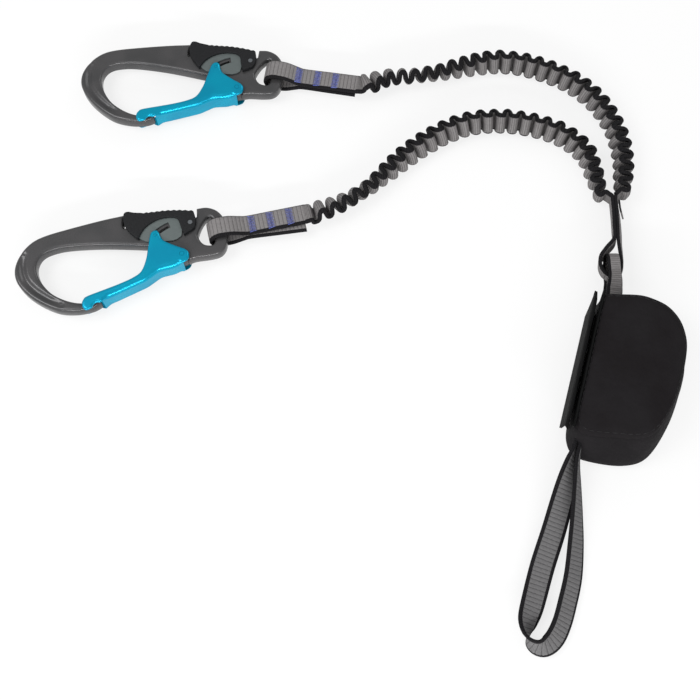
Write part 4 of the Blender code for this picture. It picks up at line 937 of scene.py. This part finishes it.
upper = [Vector((-LINK_LENGTH, LAYER)), Vector((-LINK_LENGTH * LINK_FLAT, LAYER))]
upper += [Vector((-LINK_LENGTH * back, LINK_HALF * out)) for back, out in LINK_CURVE]
upper = smooth_run(upper, ROUTE_STEPS)
bend = arc(Vector((LINK_REACH - LINK_HALF, 0)), LINK_HALF,
           [math.pi * (0.5 - step / LINK_STEPS) for step in range(LINK_STEPS + 1)])
profile = upper + bend + [Vector((point.x, -point.y)) for point in upper[::-1]]
stations = []
for point in even_run([Vector((*point, 0)) for point in profile], STRAP_STEP):
    spread = clamped(-point.x / LINK_LENGTH)
    heading = Matrix.Rotation(math.atan(math.tan(POUCH_TURN) * spread), 3, "Z")
    lean = LINK_LEAN * max(0, (spread - LINK_LEAN_START) / (1 - LINK_LEAN_START))
    rise = heading @ Vector((math.sin(lean), 0, math.cos(lean)))
    edge_way = heading @ Vector((math.cos(lean), 0, -math.sin(lean)))
    shift = (math.tan(POUCH_TURN) * spread ** 2 * LINK_LENGTH / 2 - LINK_SHIFT
             + math.sin(POUCH_TURN) * spread * LINK_DRIFT)
    centre = DROP_FOOT + Vector((shift, point.x, 0)) + rise * point.y
    stations.append((centre, edge_way, LINK_PINCH + (1 - LINK_PINCH) * spread, Vector()))
bound_webbing = webbing("webbing with a wide selvedge", GREY, 1.2, 0.30, 5.0, -1.0)
link = sweep("absorber_loop", "absorber", stations, flat_section, bound_webbing, RIB_PITCH,
             RIB_DEPTH)
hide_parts("absorber_top_loop")

# The tear webbing. It is folded to and fro inside the pouch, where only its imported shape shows
# when the pouch is opened up.
PACK_PITCH = STRAP_THICKNESS + 0.6
PACK_START = 11.8
PACK_HEIGHT = 10.8
PACK_HALF = 29.7
PACK_WIDTH = 18.0
PACK_LEGS = 11
PACK_STEPS = 6
POUCH_FRAME = Matrix.Translation((134.99, -26.17, 0)) @ Matrix.Rotation(POUCH_TURN, 4, "Z")

pack_finish = webbing("tear webbing", paint(120, 116, 117), RIB_PITCH, 0.2, 5.6)

points = []
for leg in range(PACK_LEGS):
    x = PACK_START + PACK_PITCH * leg
    end = PACK_HALF if leg % 2 else -PACK_HALF
    points += [Vector((x, -end, PACK_HEIGHT)), Vector((x, end, PACK_HEIGHT))]
    if leg < PACK_LEGS - 1:
        for step in range(1, PACK_STEPS):
            turn = math.pi * step / PACK_STEPS
            out = math.copysign(PACK_PITCH / 2 * math.sin(turn), end)
            points.append(Vector((x + PACK_PITCH / 2 * (1 - math.cos(turn)), end + out,
                                  PACK_HEIGHT)))
stations = [(POUCH_FRAME @ point, Vector((0, 0, 1)), PACK_WIDTH / STRAP_WIDTH, Vector())
            for point in points]
pack = sweep("tear_pack", "absorber", stations, flat_section, pack_finish)
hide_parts("tear_webbing_pack")

# The pouch. A back panel and a gusset are sewn to a crowned front panel of black pack cloth,
# with a line of stitching inside the seam. Rings are shares of an outline, and heights.
BASE_OUTLINE = [
    (3.1, 35.6), (4.2, 39.4), (13.6, 41.5), (24.0, 43.4), (32.2, 43.6), (41.0, 41.8),
    (49.9, 36.2), (55.6, 29.0), (59.2, 20.3), (61.0, 7.2), (60.6, -8.0), (57.7, -24.8),
    (52.9, -39.0), (47.3, -47.1), (38.5, -51.8), (27.2, -54.1), (14.5, -54.6), (8.5, -52.4),
    (4.7, -46.9), (3.1, -39.1), (3.1, -24.8), (3.1, -7.9), (3.1, 9.9), (3.1, 25.7)]
FRONT_OUTLINE = [
    (3.8, 34.7), (5.1, 38.2), (13.6, 40.8), (24.3, 43.3), (32.0, 43.2), (41.0, 41.0),
    (48.4, 35.5), (53.1, 28.4), (56.0, 19.6), (56.8, 7.0), (56.3, -6.0), (54.0, -20.6),
    (49.6, -32.2), (45.0, -38.4), (37.5, -41.8), (27.1, -44.1), (14.8, -46.6), (9.0, -46.4),
    (5.2, -43.0), (3.8, -37.6), (3.8, -24.8), (3.8, -7.9), (3.8, 9.9), (3.8, 25.7)]
SEAM_HEIGHT = 24.5
CROWN_HEIGHT = 30.5
POUCH_MIDDLE = Vector((28.0, -2.0))
RING_STEPS = 5
BACK_RINGS = [(0.30, 1.4), (0.60, 0.6), (0.80, 0.2), (0.92, 0.1), (0.965, 0.6), (0.99, 1.8)]
GUSSET_FOOT = 4.0
GUSSET_RISE = 20.0
GUSSET_STEPS = 8
GUSSET_LEAN = 1.6
GUSSET_WAIST = 0.012
GUSSET_SLACK = 0.9
SEAM_TUCK = [(0.985, 0.0), (0.90, 0.2)]
SEAM_ROLL = [(0.90, 0.3), (0.98, 0.4), (1.0, 1.0), (0.992, 2.2), (0.970, 3.2)]
CROWN_SHARES = (0.93, 0.87, 0.79, 0.70, 0.60, 0.49, 0.38, 0.26, 0.14, 0.05)
CROWN_START = 3.4
SLACK_PACE = (0.07, 0.07, 0.12)
SLACK_LIFT = 0.4
FLAP_SIDE = 8
STITCH_RING = (0.95, 3.65)
STITCH_SLACK = 0.45
STITCH_STEP = 0.85
STITCH_POINTS, STITCH_PACE = 4, 5
STITCH_RADIUS = 0.2


def smooth_ring(points, steps):
    """The smooth curve through points, closed on itself."""
    count = len(points)
    run = smooth_run([points[k % count] for k in range(-2, count + 3)], steps)
    return run[2 * steps:(count + 2) * steps]


def loft(name, body, rings, finish):
    """A piece through rings of equal count, closed at both ends."""
    vertices = [vertex for ring in rings for vertex in ring]
    faces = tube_faces(len(rings[0]), len(rings))
    return mesh_piece(name, body, vertices, faces, finish, sharp=60)


def woven_cloth(name, low, high):
    """Plain-woven pack cloth with soft creases in it."""
    cloth = Surface(name, {"Specular IOR Level": 0.16})
    spot = cloth.place()
    across, along, _ = cloth.parts(spot)
    warp = (across * 9.0).sine() * (along * 9.0).sine() * 0.5 + 0.5
    cloud = cloth.grain(spot, 0.05, 3)
    crease = cloth.grain(spot, 0.2, 4)
    cloth.feed({"Base Color": cloth.mixed(cloud.rise(0.3, 0.7), low, high),
                "Roughness": 0.76 + warp * 0.12 + cloud * 0.1})
    cloth.relief(warp * 0.05 + crease * 0.7)
    return cloth


front_cloth = woven_cloth("black pack cloth", paint(22, 19, 21), paint(28, 26, 28))
side_cloth = woven_cloth("black gusset cloth", paint(22, 20, 22), paint(30, 28, 30))
# The flap cloth is painted far darker than the pouch's own cloth, as shade on that side of the
# pouch. The lip takes it too.
flap_cloth_painted_shade = woven_cloth("black flap cloth darkened as painted shade", paint(5, 5, 6), paint(11, 11, 12))

base = smooth_ring([Vector(place) for place in BASE_OUTLINE], RING_STEPS)
front = smooth_ring([Vector(place) for place in FRONT_OUTLINE], RING_STEPS)


def pouch_ring(mix, share, height, wander=0.0):
    """One level of the pouch: its outline drawn in towards the middle, with a little slack."""
    ring = []
    for low, high in zip(base, front):
        point = POUCH_MIDDLE + (low.lerp(high, mix) - POUCH_MIDDLE) * share
        slack = wander * noise.noise(Vector((*point, height)) * Vector(SLACK_PACE))
        if point.x >= FLAP_SIDE:
            point = point + (point - POUCH_MIDDLE).normalized() * slack
        lift = SLACK_LIFT * slack if height > 1 else 0.0
        ring.append(POUCH_FRAME @ Vector((*point, height + lift)))
    return ring


rings = [pouch_ring(0.0, share, height) for share, height in BACK_RINGS]
for step in range(GUSSET_STEPS + 1):
    level = step / GUSSET_STEPS
    bulge = math.sin(math.pi * level)
    rings.append(pouch_ring(level ** GUSSET_LEAN, 1.0 - GUSSET_WAIST * bulge,
                            GUSSET_FOOT + GUSSET_RISE * level, GUSSET_SLACK * bulge))
rings += [pouch_ring(1.0, share, SEAM_HEIGHT + up) for share, up in SEAM_TUCK]
tray = loft("pouch_bag", "absorber", rings, side_cloth)
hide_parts("pouch_tray")

rings = [pouch_ring(1.0, share, SEAM_HEIGHT + up) for share, up in SEAM_ROLL]
for share in CROWN_SHARES:
    rise = (CROWN_HEIGHT - SEAM_HEIGHT - CROWN_START) * (1 - share ** 3)
    rings.append(pouch_ring(1.0, share, SEAM_HEIGHT + CROWN_START + rise, GUSSET_SLACK))
panel = loft("pouch_panel", "absorber", rings, front_cloth)
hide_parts("pouch_front")

stitch_thread = Surface("black stitching", {"Specular IOR Level": 0.3})
fuzz = stitch_thread.grain(stitch_thread.place(), 2.0)
stitch_thread.feed({"Base Color": stitch_thread.mixed(fuzz, paint(20, 20, 21), paint(40, 39, 41)),
                    "Roughness": 0.5 + fuzz * 0.3})
line = pouch_ring(1.0, STITCH_RING[0], SEAM_HEIGHT + STITCH_RING[1], STITCH_SLACK)
dots = even_run(line + line[:1], STITCH_STEP)
seam = [dots[start:start + STITCH_POINTS]
        for start in range(0, len(dots) - STITCH_PACE, STITCH_PACE)]
stitching = sewn("panel_stitching", "absorber", seam, STITCH_RADIUS, stitch_thread)

# The flap and its tapes. The flap closes the straight side of the pouch with a strip of hook
# tape on a strip of loop tape, and its top end runs out to a point. The lip stands inside it.
FLAP_THICKNESS = 1.3
FLAP_PROFILE = [
    (-0.93, 3.5), (-0.93, 12.1), (-1.1, 22.3), (-1.2, 26.4), (-0.9, 29.0), (-0.2, 30.0)]
FLAP_FOOT = (-39.6, -47.9)
FLAP_HEAD = (31.4, 38.7)
FLAP_NOTCH = 6.5
LIP_PROFILE = [(3.0, 24.8), (3.2, 27.4), (3.4, 29.8)]
LIP_THICKNESS = 0.9
LIP_FOOT = (-44.0, -45.5)
LIP_HEAD = (34.5, 41.0)
LIP_NOTCH = 2.0
STRIP_STEPS = 24
PROFILE_STEPS = 5
POINT_START = 0.62
POINT_CURVE = 1.3
RIPPLE = 0.35
RIPPLE_PACE = (7, 2)


def cloth_strip(name, body, profile, thickness, foot, head, notch):
    """A stiff strip of cloth along the pouch, with a pointed end at its head."""
    middle = smooth_run([Vector(place) for place in profile], PROFILE_STEPS)
    rings = []
    for share in [step / STRIP_STEPS for step in range(STRIP_STEPS + 1)]:
        outer, inner = [], []
        for index, point in enumerate(middle):
            run = way_on(middle, index)
            normal = Vector((-run.y, run.x)).normalized() * thickness / 2
            level = index / (len(middle) - 1)
            start = foot[0] + (foot[1] - foot[0]) * level
            end = head[0] + (head[1] - head[0]) * min(level / POINT_START, 1)
            end -= notch * max(0, (level - POINT_START) / (1 - POINT_START)) ** POINT_CURVE
            ripple = RIPPLE * level * noise.noise(
                Vector((share * RIPPLE_PACE[0], level * RIPPLE_PACE[1], profile[0][0])))
            along = start + (end - start) * share
            centre = point + Vector((thickness / 2 + ripple, 0))
            outer.append(POUCH_FRAME @ Vector((centre.x + normal.x, along, centre.y + normal.y)))
            inner.append(POUCH_FRAME @ Vector((centre.x - normal.x, along, centre.y - normal.y)))
        rings.append(outer + inner[::-1])
    # Painted shade: each strip takes the darkened flap cloth.
    piece = loft(name, body, rings, flap_cloth_painted_shade)
    return piece


flap = cloth_strip("flap_cloth", "flap", FLAP_PROFILE, FLAP_THICKNESS, FLAP_FOOT, FLAP_HEAD,
                   FLAP_NOTCH)
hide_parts("pouch_flap")
cloth_strip("pouch_lip", "absorber", LIP_PROFILE, LIP_THICKNESS, LIP_FOOT, LIP_HEAD, LIP_NOTCH)

tape_finish = Surface("closure tape", {"Specular IOR Level": 0.2})
hooks = tape_finish.grain(tape_finish.place(), 2.8, 1)
tape_finish.feed({"Base Color": tape_finish.mixed(hooks, paint(18, 18, 19), paint(48, 47, 50)),
                  "Roughness": 0.82 + hooks * 0.14})
tape_finish.relief(hooks.rise(0.4, 0.6) * 0.25)
dress("hook_tape", tape_finish)
dress("loop_tape", tape_finish)

# The tie-in loop. A heavier flat webbing comes out of the pouch's lower end and lies leaned
# over on its edge. It is girth-hitched to the harness.
TIE_PLACE = Vector((131.09, -78.07, 0))
TIE_WIDENING = 1.06
TIE_ROUTE = [
    (4.8, 17.8, 11.5, -8), (-1.2, 0.3, 11.0, -14), (-3.6, -7.6, 10.2, -34),
    (-7.1, -20.1, 8.6, -62), (-10.6, -31.6, 7.0, -76), (-15.6, -46.5, 5.6, -84),
    (-22.6, -65.1, 5.0, -86), (-29.1, -85.1, 5.6, -76), (-32.3, -94.1, 6.4, -56),
    (-33.4, -100.5, 7.0, -24), (-31.8, -105.4, 7.2, 8), (-28.1, -107.9, 7.2, 28),
    (-23.3, -107.4, 6.8, 46), (-18.3, -103.1, 6.2, 54), (-14.1, -95.5, 6.1, 54),
    (-10.5, -85.1, 6.2, 54), (-6.3, -70.1, 6.3, 52), (-3.7, -52.3, 6.8, 45),
    (-2.2, -35.7, 7.9, 34), (-1.2, -20.1, 9.2, 24), (-0.4, -8.1, 10.3, 16),
    (1.2, -0.4, 11.0, 12), (7.2, 17.2, 11.5, 8)]

run = even_run(smooth_run([Vector(place) for place in TIE_ROUTE], ROUTE_STEPS), STRAP_STEP)
stations = [(TIE_PLACE + place.xyz, leaning_side(way_on(run, index).xyz, place.w), TIE_WIDENING,
             Vector()) for index, place in enumerate(run)]
# The harness loop's grey is painted darker than the arms' webbing, as shade on its leaned faces.
tie_webbing_painted_shade = webbing("harness loop webbing darkened as painted shade", paint(111, 110, 111), RIB_PITCH, 0.22, 4.7)
tie = sweep("tie_in_webbing", "absorber", stations, flat_section, tie_webbing_painted_shade, RIB_PITCH,
            RIB_DEPTH)
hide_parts("tie_in_loop")

# The floor and the light. The floor is a matt white sheet that shows as white and keeps the
# object's shadow. A square lamp stands high at the left, a long narrow strip in front draws
# the bright lines along the metal, and a weak lamp stands behind.
FLOOR_HALF = 3
FLOOR_HEIGHT = -0.0004
FLOOR_COLOUR = (0.92, 0.92, 0.92, 1)
FLOOR_GLOW = 0.78
SKY_LEVEL = 0.50
LAMPS = [("key", (-0.70, -0.05, 0.95), 0.6, 0.6, 6.0),
         ("front strip", (0.0, -1.1, 0.55), 1.3, 0.04, 11.0),
         ("back", (0.55, 0.75, 0.55), 0.6, 0.4, 1.6)]


def met_by(nodes, rays):
    """1 where such a ray meets the surface, and 0 for all others."""
    return nodes.node("ShaderNodeLightPath", {}, {}, f"Is {rays} Ray")


ground = Surface("white floor", {})
ground.tree.nodes.remove(ground.shader)
matt = ground.node("ShaderNodeBsdfDiffuse", {}, {"Color": FLOOR_COLOUR})
glow = ground.node("ShaderNodeEmission", {}, {})
shown = met_by(ground, "Camera").larger(met_by(ground, "Glossy")) * FLOOR_GLOW
blend = ground.node("ShaderNodeMixShader", {}, {0: shown, 1: matt, 2: glow})
ground.tree.links.new(blend.socket, ground.tree.nodes["Material Output"].inputs["Surface"])
mesh = bpy.data.meshes.new("floor")
mesh.from_pydata([(x * FLOOR_HALF, y * FLOOR_HALF, 0)
                  for x, y in ((-1, -1), (1, -1), (1, 1), (-1, 1))], [], [(0, 1, 2, 3)])
mesh.materials.append(ground.material)
floor = bpy.data.objects.new("floor", mesh)
floor.location.z = FLOOR_HEIGHT
bpy.context.scene.collection.objects.link(floor)

world = bpy.data.worlds.new("studio")
bpy.context.scene.world = world
world.use_nodes = True
sky = NodeTree(world.node_tree)
back = sky.tree.nodes["Background"]
back.inputs["Color"].default_value = (1, 1, 1, 1)
shown = met_by(sky, "Camera").larger(met_by(sky, "Transmission"))
strength = SKY_LEVEL + (1 - SKY_LEVEL) * shown
sky.tree.links.new(strength.socket, back.inputs["Strength"])

for name, place, width, height, power in LAMPS:
    lamp = bpy.data.lights.new(name, "AREA")
    lamp.shape = "RECTANGLE"
    lamp.size = width
    lamp.size_y = height
    lamp.energy = power
    light = bpy.data.objects.new(name, lamp)
    light.location = place
    light.rotation_euler = Vector(place).to_track_quat("Z", "Y").to_euler()
    bpy.context.scene.collection.objects.link(light)

bpy.context.scene.view_settings.view_transform = "Standard"
